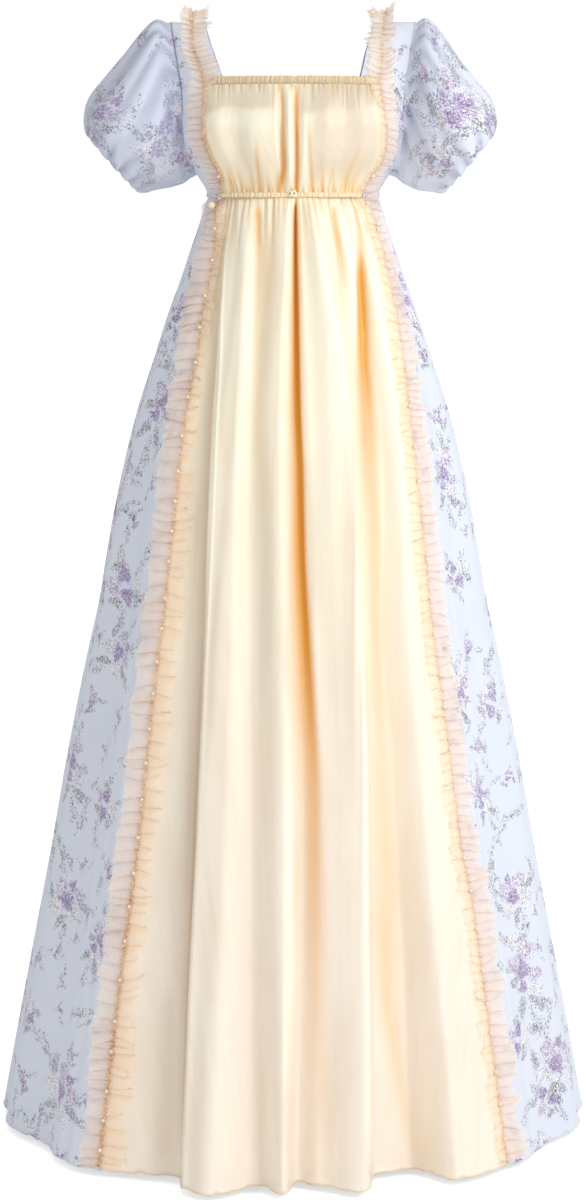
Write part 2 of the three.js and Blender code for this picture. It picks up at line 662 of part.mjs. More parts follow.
// the larger pearl on the -X ruffle, just under the waist
{
  const z = -228;
  const q = facet((h) => seamLeft(h), z);
  const centre = q.p.addScaledVector(q.n, RUFFLE_LIFT + TULLE_WALL / 2 + PEARL_R + 4);
  const geometry = new THREE.IcosahedronGeometry(PEARL_R, 2);
  geometry.translate(centre.x, centre.y, centre.z);
  add('pearl_waist_l', geometry, PEARL);
}

export default dress;
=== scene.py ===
"""Empire waist dress in its worn shape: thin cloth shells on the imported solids, in metres."""

import math

import bpy
import numpy as np
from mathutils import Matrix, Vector


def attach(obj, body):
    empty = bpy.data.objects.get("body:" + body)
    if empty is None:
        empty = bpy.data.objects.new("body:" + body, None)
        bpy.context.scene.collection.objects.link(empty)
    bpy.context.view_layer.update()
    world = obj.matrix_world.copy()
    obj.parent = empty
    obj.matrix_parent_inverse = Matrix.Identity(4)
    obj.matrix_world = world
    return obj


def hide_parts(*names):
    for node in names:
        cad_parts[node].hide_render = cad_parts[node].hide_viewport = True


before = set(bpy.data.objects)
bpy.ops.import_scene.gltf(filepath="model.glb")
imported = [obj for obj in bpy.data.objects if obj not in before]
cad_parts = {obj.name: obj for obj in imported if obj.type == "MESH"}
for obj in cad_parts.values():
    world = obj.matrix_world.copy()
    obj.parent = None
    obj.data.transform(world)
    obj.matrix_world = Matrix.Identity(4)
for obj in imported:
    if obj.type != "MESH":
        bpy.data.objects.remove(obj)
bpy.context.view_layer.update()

MM = 0.001
SCN = bpy.context.scene

# ------------------------------------------------------------------ sizes, mm
HEM_Z = -1405.0
NECK_Z = -71.0
NECK_BOTTOM_Z = -81.0
WAIST_TOP_Z = -213.0
WAIST_LOW_Z = -218.0
SKIRT_TOP_Z = -218.6
BACK_NECK_Z = -81.0
UNDERARM_Z = -190.0

# ------------------------------------------------------------------ tables, the same sizes as the solids
TORSO = np.array([  # z, half width, front depth, back depth
    (0, 170, 0.3, 0.3), (-1.5, 170, 11, 12), (-5, 170, 22, 24), (-12, 169.5, 37, 38), (-25, 169, 56, 56),
    (-40, 168, 73, 70), (-57, 166, 88, 81), (-73, 164, 100, 88), (-80, 163, 104, 90), (-95, 162, 112, 94),
    (-115, 160, 119, 97), (-135, 157, 123, 98), (-155, 150, 122, 97), (-170, 140, 118, 95), (-182, 129, 112, 92),
    (-190, 122, 107, 89), (-200, 115, 100, 85), (-208, 110, 95, 82), (-218, 107, 91, 79.5)], float)
SKIRT = np.array([
    (-218, 107, 91, 79.5), (-224, 109, 97, 86), (-236, 113.5, 106, 96), (-253, 119, 114, 106),
    (-287, 131, 127, 121), (-328, 145, 139, 135), (-369, 160, 149, 147), (-417, 175, 160, 160),
    (-474, 194, 172, 174), (-521, 207, 182, 185), (-604, 226, 198, 202), (-669, 238, 210, 214),
    (-734, 249, 222, 226), (-800, 264, 234, 238), (-931, 291, 258, 262), (-1065, 315, 282, 284),
    (-1199, 341, 304, 306), (-1335, 367, 325, 327), (-1405, 380, 335, 337)], float)
RUFFLE_SEAM = np.array([  # z, left angle, right angle
    (0, -46, 41), (-25, -46, 38.5), (-50, -43, 39), (-73, -40, 38.5), (-95, -40.3, 40), (-117, -41.7, 42.4),
    (-142, -42.9, 45.5), (-165, -43.4, 49), (-182, -44.5, 52), (-195, -46.5, 51), (-213, -53, 50.5),
    (-219, -55, 52), (-230, -56, 54.5), (-253, -52, 56.5), (-287, -48, 56), (-330, -46.5, 54.5),
    (-365, -45, 52.5), (-420, -42.7, 49), (-475, -42, 45.6), (-600, -40, 42.5), (-800, -39.3, 41.5),
    (-1000, -38.4, 41.2), (-1085, -38.6, 42.8), (-1405, -38.5, 43.3)], float)
STRAP = np.array([  # z, inner edge left, inner edge right, armhole edge
    (0, 38.5, 34, 63.5), (-12, 37.5, 33.5, 62.5), (-25, 36, 32, 61), (-40, 34, 30.5, 59.5), (-57, 32, 29.5, 58.5),
    (-73, 30, 28.5, 57.8), (-95, 30, 28.5, 57), (-117, 30, 28.5, 57.8), (-142, 30, 28.5, 60),
    (-160, 30, 28.5, 63.5), (-172, 30, 28.5, 68), (-182, 30, 28.5, 76), (-190, 30, 28.5, 90)], float)
FOLD_Z = np.array([-219.0, -420.0, -800.0, HEM_Z])
FOLDS = np.array([  # angle at four heights, push at four heights
    (-90, -90, -90, -90, 0, 1, 2, 3), (-82, -82, -83, -83, -2, -2, -3, -4), (-75, -74, -76, -76, 2, 2, 2, 3),
    (-66, -62, -60, -60, -3, -5, -9, -14), (-59, -50, -46, -45, 2, 3, 5, 9), (-47, -36, -28, -22.9, -2, -6, -12, -21),
    (-43, -30, -23, -19.4, 0, 3, 8, 19), (-30, -22, -17, -14.9, 2, 5, 9, 30), (-21, -16, -11, -6, -3, -5, -7, -14),
    (-3.5, -5.3, -2.5, -1.7, 4, 7, 10, 20), (1.9, 1.2, 3, 0.8, -9, -11, -13, -31), (5, 6, 7, 5, -3, -3, -4, -15),
    (10, 18.8, 17.5, 12.5, 4, 6, 9, 17), (27, 28, 22, 17.8, -4, -7, -12, -46), (33, 34, 26, 25.8, -4, -5, -10, -48),
    (42, 41, 33, 31, 3, 5, 9, 13), (60, 55, 48, 47, 2, 2, 3, 4), (67, 64, 61, 61, -3, -4, -6, -9),
    (75, 74, 74, 74, 2, 2, 3, 4), (82, 82, 82, 82, -2, -2, -3, -4), (90, 90, 90, 90, 0, 1, 2, 3),
    (100, 99, 99, 99, -3, -4, -7, -12), (110, 110, 111, 110, 2, 4, 6, 9), (122, 120, 120, 121, -4, -6, -11, -18),
    (132, 131, 132, 131, 3, 5, 8, 13), (143, 143, 141, 142, -3, -4, -6, -11), (153, 154, 154, 153, 3, 5, 9, 15),
    (166, 166, 164, 165, -5, -8, -14, -26), (177, 178, 178, 177, 3, 5, 8, 13), (188, 189, 188, 188, -5, -8, -13, -23),
    (200, 200, 201, 200, 3, 5, 9, 16), (212, 213, 213, 213, -3, -5, -9, -15), (226, 225, 226, 226, 3, 4, 7, 11),
    (238, 238, 239, 239, -4, -6, -11, -19), (250, 250, 250, 250, 2, 4, 6, 9), (261, 261, 261, 261, -3, -4, -6, -9),
    (270, 270, 270, 270, 0, 1, 2, 3)], float)
GATHERS = np.array([  # angle at top and bottom, push at top, middle and bottom
    (-39, -52, 0, 0, 0), (-30, -40, 1, 3, 2), (-22, -28, -1, -2, -2), (-13, -14, 1, 4, 1), (-7, -6.5, 0, 2, 0),
    (-4.2, -3.8, -2, -6, -3), (-1.4, -1.4, 1, 2, 1), (1.3, 1.3, -2, -6, -3), (4.5, 4, 0, 2, 0), (12, 13, 1, 4, 1),
    (21, 26, -1, -2, -2), (30, 39, 1, 3, 2), (39, 50, 0, 0, 0)], float)
SLEEVE = np.array([  # outer x, z, inner x, z, depth front, back, gather
    (172, 4, 131, -195, 72, 61, 0.8), (190, -12, 139, -201, 88, 78, 1.6), (212, -40, 150, -205, 99, 91, 2.6),
    (236, -69, 163, -209, 104, 97, 3), (258, -95, 179, -212, 102, 97, 3), (265, -119, 188, -214, 96, 92, 3.4),
    (262, -138, 196, -213, 87, 85, 4), (252, -142, 196, -204, 64, 63, 3), (245, -136, 192, -195, 45, 45, 1.2)], float)
SLEEVE_REACH = {"l": 1.0, "r": 0.972}
RUFFLES = {  # z, outer wing, inner wing, stand off, pleat length
    "l": np.array([(0, 12, 17, 15, 8), (-12, 13, 18, 12, 8), (-40, 13, 18, 8, 8), (-73, 15, 18, 7, 8.5), (-88, 20, 9, 6, 9.5),
                   (-100, 24, 5, 6, 9.5), (-150, 25, 5, 6, 9.5), (-190, 25, 6, 8, 10), (-219, 24, 8, 10, 11),
                   (-250, 29, 13, 14, 13), (-340, 30, 15, 12, 16), (-420, 28, 13, 9, 17), (-500, 27, 13, 8, 19),
                   (-700, 28, 25, 7, 19), (-1000, 26, 21, 8, 17), (HEM_Z, 26, 26, 9, 15)], float),
    "r": np.array([(0, 12, 17, 15, 8), (-12, 13, 18, 12, 8), (-40, 13, 18, 8, 8), (-73, 15, 17, 7, 8.5), (-88, 18, 9, 6, 9),
                   (-100, 20, 7, 6, 9), (-150, 21, 7, 6, 9), (-190, 20, 8, 8, 10), (-219, 24, 11, 11, 11),
                   (-250, 26, 16, 12, 12), (-340, 26, 17, 10, 14), (-500, 26, 16, 8, 15), (-600, 26, 17, 7, 15),
                   (-830, 25, 15, 7, 14), (-1000, 26, 16, 8, 13), (-1150, 27, 17, 8, 13), (HEM_Z, 28, 15, 9, 13)], float)}

# satin folds and the painted shade and highlights that lie in them: kind, name, depth mm, stations (z, plan angle,
# left mm, right mm, strength). Every kind is a painted shade except light, which is a painted highlight.
SKIRT_BANDS = [
    ("glow", "centre trough", 7, [(-222, 2.0, 1.5, 1.5, 0.70), (-245, 1.7, 2.5, 2.2, 0.95), (-295, 1.6, 3.7, 2.7,
     1.00), (-334, 1.7, 4.9, 3.2, 1.00), (-405, 2.0, 7.3, 2.9, 1.00), (-476, 2.3, 9.8, 2.7, 0.95), (-548, 2.9, 11.0,
     2.9, 0.92), (-647, 3.1, 13.4, 3.2, 0.88), (-752, 4.1, 15.8, 4.3, 0.80), (-847, 4.8, 17.1, 6.1, 0.66), (-934,
     5.3, 17.0, 8.5, 0.52), (-1049, 5.3, 17.0, 9.7, 0.40), (-1181, 5.1, 14.6, 10.9, 0.25), (-1276, 5.5, 13.4, 10.9,
     0.16), (-1348, 6.0, 12.2, 9.7, 0.05)]),
    ("glow", "right trough", 5, [(-237, 42.6, 3.4, 3.4, 0.10), (-271, 40.7, 4.9, 4.9, 0.35), (-326, 37.1, 7.8, 6.2,
     0.88), (-371, 34.1, 10.3, 7.4, 0.90), (-441, 30.7, 12.7, 9.9, 0.72), (-501, 28.2, 12.3, 11.0, 0.52), (-562,
     26.8, 12.2, 10.8, 0.32), (-634, 26.4, 12.1, 10.8, 0.12), (-755, 25.1, 12.0, 12.0, 0.05)]),
    ("glow", "left gather", 3, [(-226, -24.0, 2.0, 2.0, 0.30), (-240, -22.8, 4.0, 4.0, 0.55), (-271, -20.4, 4.6,
     4.6, 0.45), (-289, -19.1, 5.2, 5.2, 0.15), (-343, -16.6, 5.1, 5.1, 0.03)]),
    ("glow", "slant gather", 3.5, [(-226, 27.6, 2.1, 2.1, 0.15), (-239, 27.7, 4.2, 3.5, 0.45), (-271, 27.6, 5.6,
     4.9, 0.50), (-299, 27.1, 6.2, 5.6, 0.40), (-331, 26.2, 6.9, 5.5, 0.15), (-368, 24.6, 6.7, 5.4, 0.02)]),
    ("tan", "left hollow", 2.5, [(-258, -13.5, 7.6, 7.6, 0.25), (-307, -15.0, 15.2, 15.2, 0.40), (-380, -14.3, 12.6,
     12.6, 0.30), (-464, -13.0, 11.2, 11.2, 0.18), (-584, -9.8, 12.3, 12.3, 0.12)]),
    ("tan", "right hollow", 3, [(-502, 29.6, 13.9, 16.7, 0.20), (-634, 26.7, 16.2, 13.5, 0.35), (-755, 25.4, 16.1,
     16.1, 0.30), (-870, 23.9, 15.9, 18.5, 0.30), (-971, 23.9, 18.5, 21.2, 0.35), (-1054, 23.7, 19.8, 21.1, 0.38),
     (-1126, 21.8, 15.6, 18.2, 0.42), (-1185, 21.7, 13.0, 13.0, 0.45), (-1248, 23.1, 13.1, 13.1, 0.40), (-1333,
     25.0, 12.0, 12.0, 0.30), (-1383, 26.6, 10.8, 10.8, 0.20)]),
    ("painted_beige_shade", "under the fold edge", 4, [(-271, -46.3, 14.3, 3.6, 0.20), (-368, -36.5, 13.6, 3.0, 0.35), (-465,
     -31.8, 15.6, 3.1, 0.50), (-586, -28.3, 16.4, 3.0, 0.50), (-707, -26.5, 18.9, 3.2, 0.50), (-827, -24.6, 19.9,
     3.4, 0.65), (-923, -23.6, 19.8, 3.4, 0.75), (-1007, -23.1, 15.8, 3.7, 0.85), (-1099, -22.8, 14.4, 3.9, 0.85),
     (-1187, -22.3, 14.3, 3.9, 0.80), (-1259, -21.7, 15.6, 4.5, 0.65), (-1319, -21.6, 15.6, 5.2, 0.45), (-1367,
     -21.8, 14.3, 5.2, 0.20)]),
    ("painted_cool_shade", "left middle", 2, [(-704, -11.8, 9.9, 9.9, 0.10), (-867, -10.5, 8.6, 8.6, 0.30), (-1049, -9.2, 11.0,
     11.0, 0.25), (-1134, -8.7, 12.2, 12.2, 0.20), (-1261, -7.9, 13.4, 13.4, 0.15), (-1348, -6.2, 14.6, 12.2,
     0.10)]),
    ("painted_cool_shade", "left of centre", 1.5, [(-512, -10.7, 12.4, 11.1, 0.10), (-656, -8.6, 13.5, 12.3, 0.40), (-752, -8.6,
     13.5, 12.3, 0.35), (-824, -9.1, 12.3, 11.1, 0.20)]),
    ("painted_cool_shade", "right middle", 2.5, [(-513, 20.6, 5.2, 2.6, 0.10), (-585, 18.9, 11.5, 2.6, 0.35), (-657, 17.5, 14.0,
     2.5, 0.50), (-753, 15.9, 15.1, 2.5, 0.50), (-849, 14.6, 12.5, 3.1, 0.35), (-944, 13.7, 11.2, 3.7, 0.12)]),
    ("painted_cool_shade", "beside centre", 1, [(-536, 6.3, 6.1, 7.4, 0.10), (-620, 6.4, 6.1, 7.3, 0.35), (-704, 6.6, 6.1, 7.3,
     0.25)]),
    ("painted_cool_shade", "left folds", 1.5, [(-225, -38.6, 3.1, 3.1, 0.20), (-252, -36.4, 4.6, 4.6, 0.35), (-295, -31.7, 5.8,
     5.8, 0.25), (-344, -27.7, 5.5, 5.5, 0.10)]),
    ("painted_cool_shade", "left edge inside", 1.2, [(-585, -21.0, 6.5, 6.5, 0.10), (-754, -22.4, 6.5, 6.5, 0.40), (-826, -21.5,
     6.5, 6.5, 0.35), (-898, -21.3, 6.5, 6.5, 0.10)]),
    ("painted_cool_shade", "hem left", 2, [(-1190, -27.2, 9.5, 9.5, 0.15), (-1310, -26.0, 12.1, 12.1, 0.35), (-1370, -25.8, 13.4,
     10.7, 0.35)]),
    ("light", "fold edge line", 1.5, [(-256, -43.4, 2.0, 2.4, 0.50), (-344, -34.6, 1.9, 2.2, 0.90), (-465, -28.2,
     1.6, 2.1, 0.90), (-604, -25.0, 1.6, 1.9, 0.80), (-754, -23.7, 1.6, 1.8, 0.70), (-826, -22.9, 1.6, 1.8, 0.40),
     (-898, -22.1, 1.6, 1.8, 0.10)]),
    ("light", "beside left gather", 2.5, [(-240, -29.7, 5.6, 5.6, 0.20), (-299, -25.4, 9.5, 9.5, 0.60), (-392,
     -20.2, 10.4, 9.1, 0.60), (-488, -18.0, 10.2, 8.9, 0.30), (-585, -16.9, 10.1, 8.9, 0.10)]),
    ("light", "right panel", 2.5, [(-240, 16.9, 6.4, 6.4, 0.30), (-295, 13.3, 8.8, 8.8, 0.40), (-380, 16.1, 15.3,
     12.7, 0.65), (-464, 15.2, 16.4, 12.6, 0.65), (-560, 14.0, 15.0, 11.3, 0.45), (-656, 11.0, 12.4, 11.1, 0.15)]),
    ("light", "between troughs", 2, [(-234, 35.6, 6.1, 6.1, 0.70), (-271, 33.5, 6.0, 6.0, 0.80), (-313, 32.5, 5.9,
     5.9, 0.70), (-368, 29.5, 4.9, 4.2, 0.45), (-416, 27.2, 4.1, 4.1, 0.20)]),
    ("light", "by the ruffle", 2, [(-271, 48.0, 5.7, 5.7, 0.50), (-344, 42.9, 6.8, 6.8, 0.60), (-418, 39.9, 7.9,
     9.5, 0.70), (-490, 37.5, 9.1, 9.1, 0.70), (-588, 36.7, 10.5, 9.0, 0.65), (-709, 35.3, 11.9, 8.9, 0.45), (-830,
     33.9, 13.0, 11.6, 0.35), (-952, 34.2, 17.5, 14.6, 0.30), (-1074, 34.8, 20.6, 14.7, 0.25)]),
    ("light", "right line", 2.5, [(-657, 20.1, 1.5, 3.9, 0.25), (-729, 19.2, 1.5, 6.4, 0.60), (-825, 17.6, 1.5, 8.9,
     0.80), (-921, 16.6, 1.9, 10.1, 0.85), (-1004, 15.8, 3.8, 10.1, 0.85), (-1064, 15.4, 5.0, 8.8, 0.80), (-1136,
     14.9, 6.3, 7.5, 0.80), (-1219, 14.9, 8.8, 7.5, 0.70), (-1303, 14.8, 10.0, 8.7, 0.60), (-1375, 15.2, 8.8, 8.8,
     0.35)]),
    ("light", "left of centre line", 2.5, [(-811, -2.3, 7.3, 4.9, 0.10), (-895, -1.2, 8.5, 4.9, 0.50), (-978, -0.9,
     8.5, 4.8, 0.85), (-1061, -0.7, 8.5, 4.8, 0.85), (-1133, -0.4, 9.7, 6.1, 0.80), (-1204, -0.6, 9.7, 7.3, 0.50),
     (-1276, -1.2, 10.9, 8.5, 0.25)]),
    ("light", "centre right edge", 1, [(-295, 4.7, 2.5, 4.9, 0.35), (-404, 4.1, 2.5, 6.1, 0.30), (-524, 4.0, 2.4,
     4.9, 0.20)]),
]
# the bodice's folds and their painted shade and highlights, with the same columns
BODICE_BANDS = [
    ("glow", "left pleat", 3, [(-89, -4.1, 2.4, 2.4, 0.40), (-117, -3.4, 3.1, 2.4, 0.50), (-149, -3.2, 3.7, 2.4,
     0.55), (-179, -3.5, 4.9, 3.1, 0.65), (-197, -5.4, 6.2, 3.1, 0.70), (-213, -7.2, 3.7, 2.5, 0.60)]),
    ("glow", "right pleat", 3.5, [(-86, 0.9, 2.0, 2.0, 0.60), (-117, 0.9, 2.9, 2.9, 0.75), (-155, 1.3, 2.9, 2.9,
     0.70), (-191, 1.7, 3.0, 3.0, 0.75), (-213, 1.4, 2.2, 2.2, 0.85)]),
    ("light", "between pleats", 2.5, [(-95, -1.2, 3.7, 3.7, 0.40), (-137, -0.9, 4.3, 4.3, 0.70), (-185, -1.0, 4.3,
     4.3, 0.70), (-207, -1.9, 3.7, 3.7, 0.40)]),
    ("light", "right of pleats", 1.5, [(-123, 3.0, 2.4, 4.9, 0.60), (-161, 3.8, 2.4, 4.9, 0.60), (-191, 5.2, 2.5,
     4.9, 0.50)]),
    ("glow", "crease a", 1.5, [(-123, 5.1, 1.8, 2.4, 0.10), (-161, 6.3, 2.5, 3.1, 0.35), (-191, 8.9, 2.7, 2.7,
     0.45), (-213, 11.5, 2.5, 2.5, 0.55)]),
    ("glow", "crease b", 1.8, [(-179, 13.2, 2.5, 2.5, 0.10), (-197, 15.8, 2.8, 2.8, 0.40), (-214, 18.0, 2.6, 2.6,
     0.60)]),
    ("tan", "slant right", 2.2, [(-157, 29.8, 2.7, 4.1, 0.20), (-179, 30.7, 4.2, 4.2, 0.50), (-197, 32.0, 4.2, 4.2,
     0.70), (-213, 34.2, 3.6, 2.9, 0.80)]),
    ("tan", "slant right outer", 2, [(-173, 35.5, 4.3, 4.3, 0.30), (-200, 39.0, 4.6, 4.6, 0.60), (-213, 40.4, 3.1,
     3.1, 0.70)]),
    ("glow", "crease c", 2, [(-153, -15.4, 1.9, 2.5, 0.10), (-173, -16.7, 2.5, 3.1, 0.35), (-197, -19.2, 2.6, 2.6,
     0.45), (-214, -20.5, 2.6, 2.6, 0.60)]),
    ("tan", "crease d", 1.6, [(-188, -38.3, 3.0, 4.5, 0.30), (-201, -40.2, 3.9, 3.9, 0.60), (-214, -41.8, 3.1, 3.1,
     0.70)]),
    ("tan", "crease e", 1.6, [(-192, -30.8, 2.8, 2.8, 0.30), (-214, -33.7, 2.8, 2.8, 0.70)]),
    ("tan", "crease f", 1.4, [(-195, -13.1, 2.5, 2.5, 0.20), (-214, -14.3, 2.5, 2.5, 0.70)]),
    ("tan", "crease g", 1.6, [(-183, 20.4, 2.6, 2.6, 0.20), (-214, 26.4, 2.7, 2.7, 0.70)]),
    ("tan", "crease h", 1.2, [(-202, -25.7, 2.1, 2.1, 0.20), (-214, -28.0, 2.2, 2.2, 0.60)]),
    ("painted_cool_shade", "left lower shade", 1, [(-143, -24.7, 10.4, 10.4, 0.15), (-179, -25.7, 15.9, 13.2, 0.35), (-203, -29.6,
     16.4, 16.4, 0.20)]),
    ("painted_cool_shade", "right lower shade", 1, [(-137, 9.6, 8.6, 11.1, 0.20), (-173, 13.1, 12.5, 15.0, 0.40), (-204, 18.4,
     11.5, 11.5, 0.20)]),
    ("painted_cool_shade", "right cup", 1, [(-112, 22.0, 12.0, 18.0, 0.30), (-140, 24.0, 16.0, 18.0, 0.55), (-170, 24.0, 16.0, 16.0,
     0.50), (-190, 26.0, 12.0, 12.0, 0.20)]),
    ("painted_cool_shade", "left cup", 1, [(-112, -24.0, 14.0, 12.0, 0.25), (-140, -26.0, 14.0, 14.0, 0.30), (-165, -26.0, 12.0,
     12.0, 0.20)]),
    ("painted_cool_shade", "mid left", 1, [(-149, -10.7, 9.9, 9.9, 0.20), (-179, -12.7, 11.2, 11.2, 0.30), (-204, -15.2, 7.6, 7.6,
     0.10)]),
]

# the print's motifs, flower by flower in mm: kind, x, y, half width, half height, turn
MOTIFS = {
    "A": [("rose", 0, 16, 8, 8, 0), ("rose", -5, 3, 6, 5, 0), ("pink", 7, 30, 9, 8, 0), ("pink", -9, 25, 7, 8, 0),
          ("pink", 11, 7, 7, 6, 0), ("pale", -2, 42, 9, 7, 0), ("pale", 5, -5, 8, 6, 0), ("leaf", -11, -10, 9, 5, 60),
          ("leaf", 8, -17, 10, 5, -50), ("leaf", -14, 12, 6, 4, 20), ("trail", 0, -34, 5, 15, 8), ("trail", 16, -25, 4, 10, -25),
          ("trail", -14, 50, 4, 9, 30), ("trail", 14, 46, 4, 9, -20)],
    "B": [("rose", 0, 0, 9, 8, 0), ("pink", -14, 6, 9, 8, 0), ("pink", 8, 15, 8, 7, 0), ("pale", 16, -2, 9, 8, 0),
          ("pale", -8, -13, 9, 7, 0), ("rose", -6, 16, 5, 5, 0), ("leaf", 21, 12, 9, 4, 30), ("leaf", -23, -8, 9, 4, -30),
          ("leaf", 7, -19, 10, 4, 80), ("trail", 30, 20, 10, 4, 25), ("trail", -28, 21, 9, 4, -30), ("trail", 18, -26, 4, 10, 20)],
    "C": [("pink", 0, 2, 6, 6, 0), ("rose", 2, -2, 3.5, 3.5, 0), ("leaf", 6, -8, 6, 3, 50), ("trail", -2, -19, 3.5, 12, 10),
          ("trail", 9, 9, 7, 3, 35), ("trail", -9, 6, 6, 3, -40)],
    "D": [("rose", -8, 6, 7, 7, 0), ("rose", 7, -5, 8, 7, 0), ("pale", 10, 10, 8, 8, 0), ("pink", -12, -8, 8, 7, 0),
          ("leaf", 0, -17, 8, 4, 20), ("leaf", 19, 2, 8, 4, -30), ("leaf", -19, 8, 7, 4, 50), ("trail", -22, 16, 9, 4, -35),
          ("trail", 15, -23, 4, 10, 30), ("trail", 4, 24, 4, 9, -10)],
    "E": [("trail", 0, 0, 13, 4, 60), ("trail", 10, 12, 8, 3, 20), ("trail", -6, -14, 4, 9, 15), ("leaf", 5, 2, 4, 2.5, 40)],
}
# where the front shows them: x, z, motif, turn, size
SPRAYS = [
    (-131, -262, "C", 20, 1.00), (-144, -373, "A", 10, 0.80), (-163, -427, "E", 60, 1.00), (-169, -494, "A", 5,
    1.05), (-217, -608, "E", 20, 1.00), (-202, -619, "C", 0, 0.80), (-209, -703, "D", 30, 1.10), (-219, -786, "B",
    80, 0.90), (-190, -763, "E", 0, 0.80), (-255, -849, "C", 40, 1.00), (-282, -955, "A", -20, 1.00), (-236, -971,
    "D", 60, 0.90), (-295, -1044, "E", 90, 1.10), (-230, -1044, "C", 10, 0.90), (-287, -1105, "B", 30, 0.95), (-329,
    -1187, "C", 80, 0.90), (-245, -1146, "A", 15, 0.80), (-343, -1262, "D", -20, 0.80), (-269, -1224, "E", 30,
    1.00), (-234, -1230, "C", 70, 0.80), (-292, -1330, "B", 60, 1.15), (-349, -1341, "C", 10, 1.00), (-244, -1314,
    "E", 10, 1.00), (-316, -1289, "E", 100, 1.00), (146, -366, "A", -15, 1.00), (165, -416, "C", 40, 0.90), (181,
    -495, "C", -10, 1.00), (192, -579, "A", -5, 0.85), (228, -565, "E", 20, 0.90), (204, -687, "D", 20, 0.80), (219,
    -780, "C", 60, 1.00), (252, -791, "E", 10, 1.10), (209, -844, "A", 10, 0.70), (252, -855, "D", 70, 0.80), (234,
    -900, "C", -30, 1.00), (239, -972, "A", -25, 0.75), (281, -993, "E", 40, 1.00), (273, -946, "C", 80, 0.80),
    (277, -1096, "B", 10, 0.95), (247, -1053, "E", -20, 1.20), (297, -1212, "A", -10, 1.15), (282, -1264, "D", 70,
    0.85), (338, -1318, "B", 40, 1.15), (326, -1353, "D", 0, 0.90), (299, -1349, "E", 40, 1.00), (339, -1193, "C",
    0, 1.10), (266, -1173, "E", 80, 1.00), (369, -1308, "E", 95, 1.00), (-151, -27, "C", 0, 0.70), (-139, -56, "E",
    80, 0.60), (-139, -81, "C", 40, 0.60), (-215, -43, "D", -50, 0.75), (-190, -22, "C", -50, 0.90), (-213, -74,
    "C", 70, 0.80), (-240, -114, "B", 20, 0.90), (-245, -136, "C", 80, 0.90), (-147, -126, "D", 10, 1.00), (-154,
    -100, "E", 40, 1.00), (-195, -118, "E", 0, 0.70), (-168, -160, "B", 60, 0.90), (-141, -172, "C", 0, 1.10),
    (-178, -187, "E", 50, 1.00), (-128, -176, "D", 60, 0.70), (-232, -172, "E", 100, 0.80), (-179, -201, "C", 20,
    0.80), (201, -35, "D", -40, 1.10), (177, -33, "C", -70, 1.00), (162, -68, "C", 10, 1.20), (134, -39, "C", 60,
    0.70), (129, -66, "E", 80, 0.70), (136, -105, "A", -10, 0.70), (210, -104, "B", 0, 1.10), (197, -124, "B", 100,
    0.90), (248, -126, "D", -20, 0.80), (179, -175, "D", 40, 0.90), (191, -192, "C", 60, 1.00), (154, -195, "E", 60,
    1.00), (120, -183, "C", 20, 0.80), (228, -148, "E", -40, 0.90), (151, -161, "E", 80, 0.80), (108, -207, "E", 60,
    0.60)
]
SPREAD = ["A", "E", "D", "C", "B", "E", "A", "C", "E", "D"]  # the order they take in the half-drop repeat elsewhere
REPEAT_ACROSS, REPEAT_DOWN = 78.0, 104.0


# ------------------------------------------------------------------ surface maths
def pchip(xs, ys, x):
    """Smooth interpolation with no overshoot. xs rises."""
    xs, ys, x = np.asarray(xs, float), np.asarray(ys, float), np.asarray(x, float)
    h = np.diff(xs)
    s = np.diff(ys) / h
    m = np.zeros_like(ys)
    for i in range(1, len(xs) - 1):
        if s[i - 1] * s[i] > 0:
            a, b = 2 * h[i] + h[i - 1], h[i] + 2 * h[i - 1]
            m[i] = (a + b) / (a / s[i - 1] + b / s[i])
    m[0], m[-1] = s[0], s[-1]
    x = np.clip(x, xs[0], xs[-1])
    i = np.clip(np.searchsorted(xs, x) - 1, 0, len(xs) - 2)
    t = (x - xs[i]) / h[i]
    return (ys[i] * (1 + 2 * t) * (1 - t) ** 2 + m[i] * h[i] * t * (1 - t) ** 2
            + ys[i + 1] * t * t * (3 - 2 * t) + m[i + 1] * h[i] * t * t * (t - 1))


def col(tab, z, k):
    return pchip(tab[::-1, 0], tab[::-1, k], z)


def smooth(t):
    t = np.clip(t, 0, 1)
    return t * t * (3 - 2 * t)


def ease(t):
    return 0.5 - 0.5 * np.cos(np.pi * np.clip(t, 0, 1))


def signed(v, p):
    return np.sign(v) * np.abs(v) ** p


def plan(angle, z, skirt):
    tab, power = (SKIRT, 2.0) if skirt else (TORSO, 2.2)
    a, f, b = col(tab, z, 1), col(tab, z, 2), col(tab, z, 3)
    s, c = np.sin(np.radians(angle)), np.cos(np.radians(angle))
    depth = np.where(c >= 0, f, b)
    return a * signed(s, 2 / power), -depth * signed(c, 2 / power)


def per_degree(angle, z, skirt):
    x0, y0 = plan(np.array(angle - 0.5), z, skirt)
    x1, y1 = plan(np.array(angle + 0.5), z, skirt)
    return float(np.hypot(x1 - x0, y1 - y0))


def bands(table, angle, z, skirt):
    """Depth in mm and the painted shade and highlight of each kind at one height."""
    tint = {k: np.zeros_like(angle) for k in ("glow", "tan", "painted_beige_shade", "painted_cool_shade", "light")}
    depth = np.zeros_like(angle)
    for kind, _, deep, stations in table:
        st = np.array(stations, float)[::-1]
        if z < st[0, 0] - 25 or z > st[-1, 0] + 12:
            continue
        p, left, right, s = (float(pchip(st[:, 0], st[:, k], z)) for k in (1, 2, 3, 4))
        s *= float(smooth((z - st[0, 0] + 25) / 25) * smooth((st[-1, 0] + 12 - z) / 12))
        d = (angle - p) * per_degree(p, z, skirt)
        shape = np.exp(-(np.where(d < 0, d / left, d / right)) ** 2)
        tint[kind] = np.maximum(tint[kind], s * shape)
        depth += (deep if kind == "light" else -deep) * s * shape
    return depth, tint


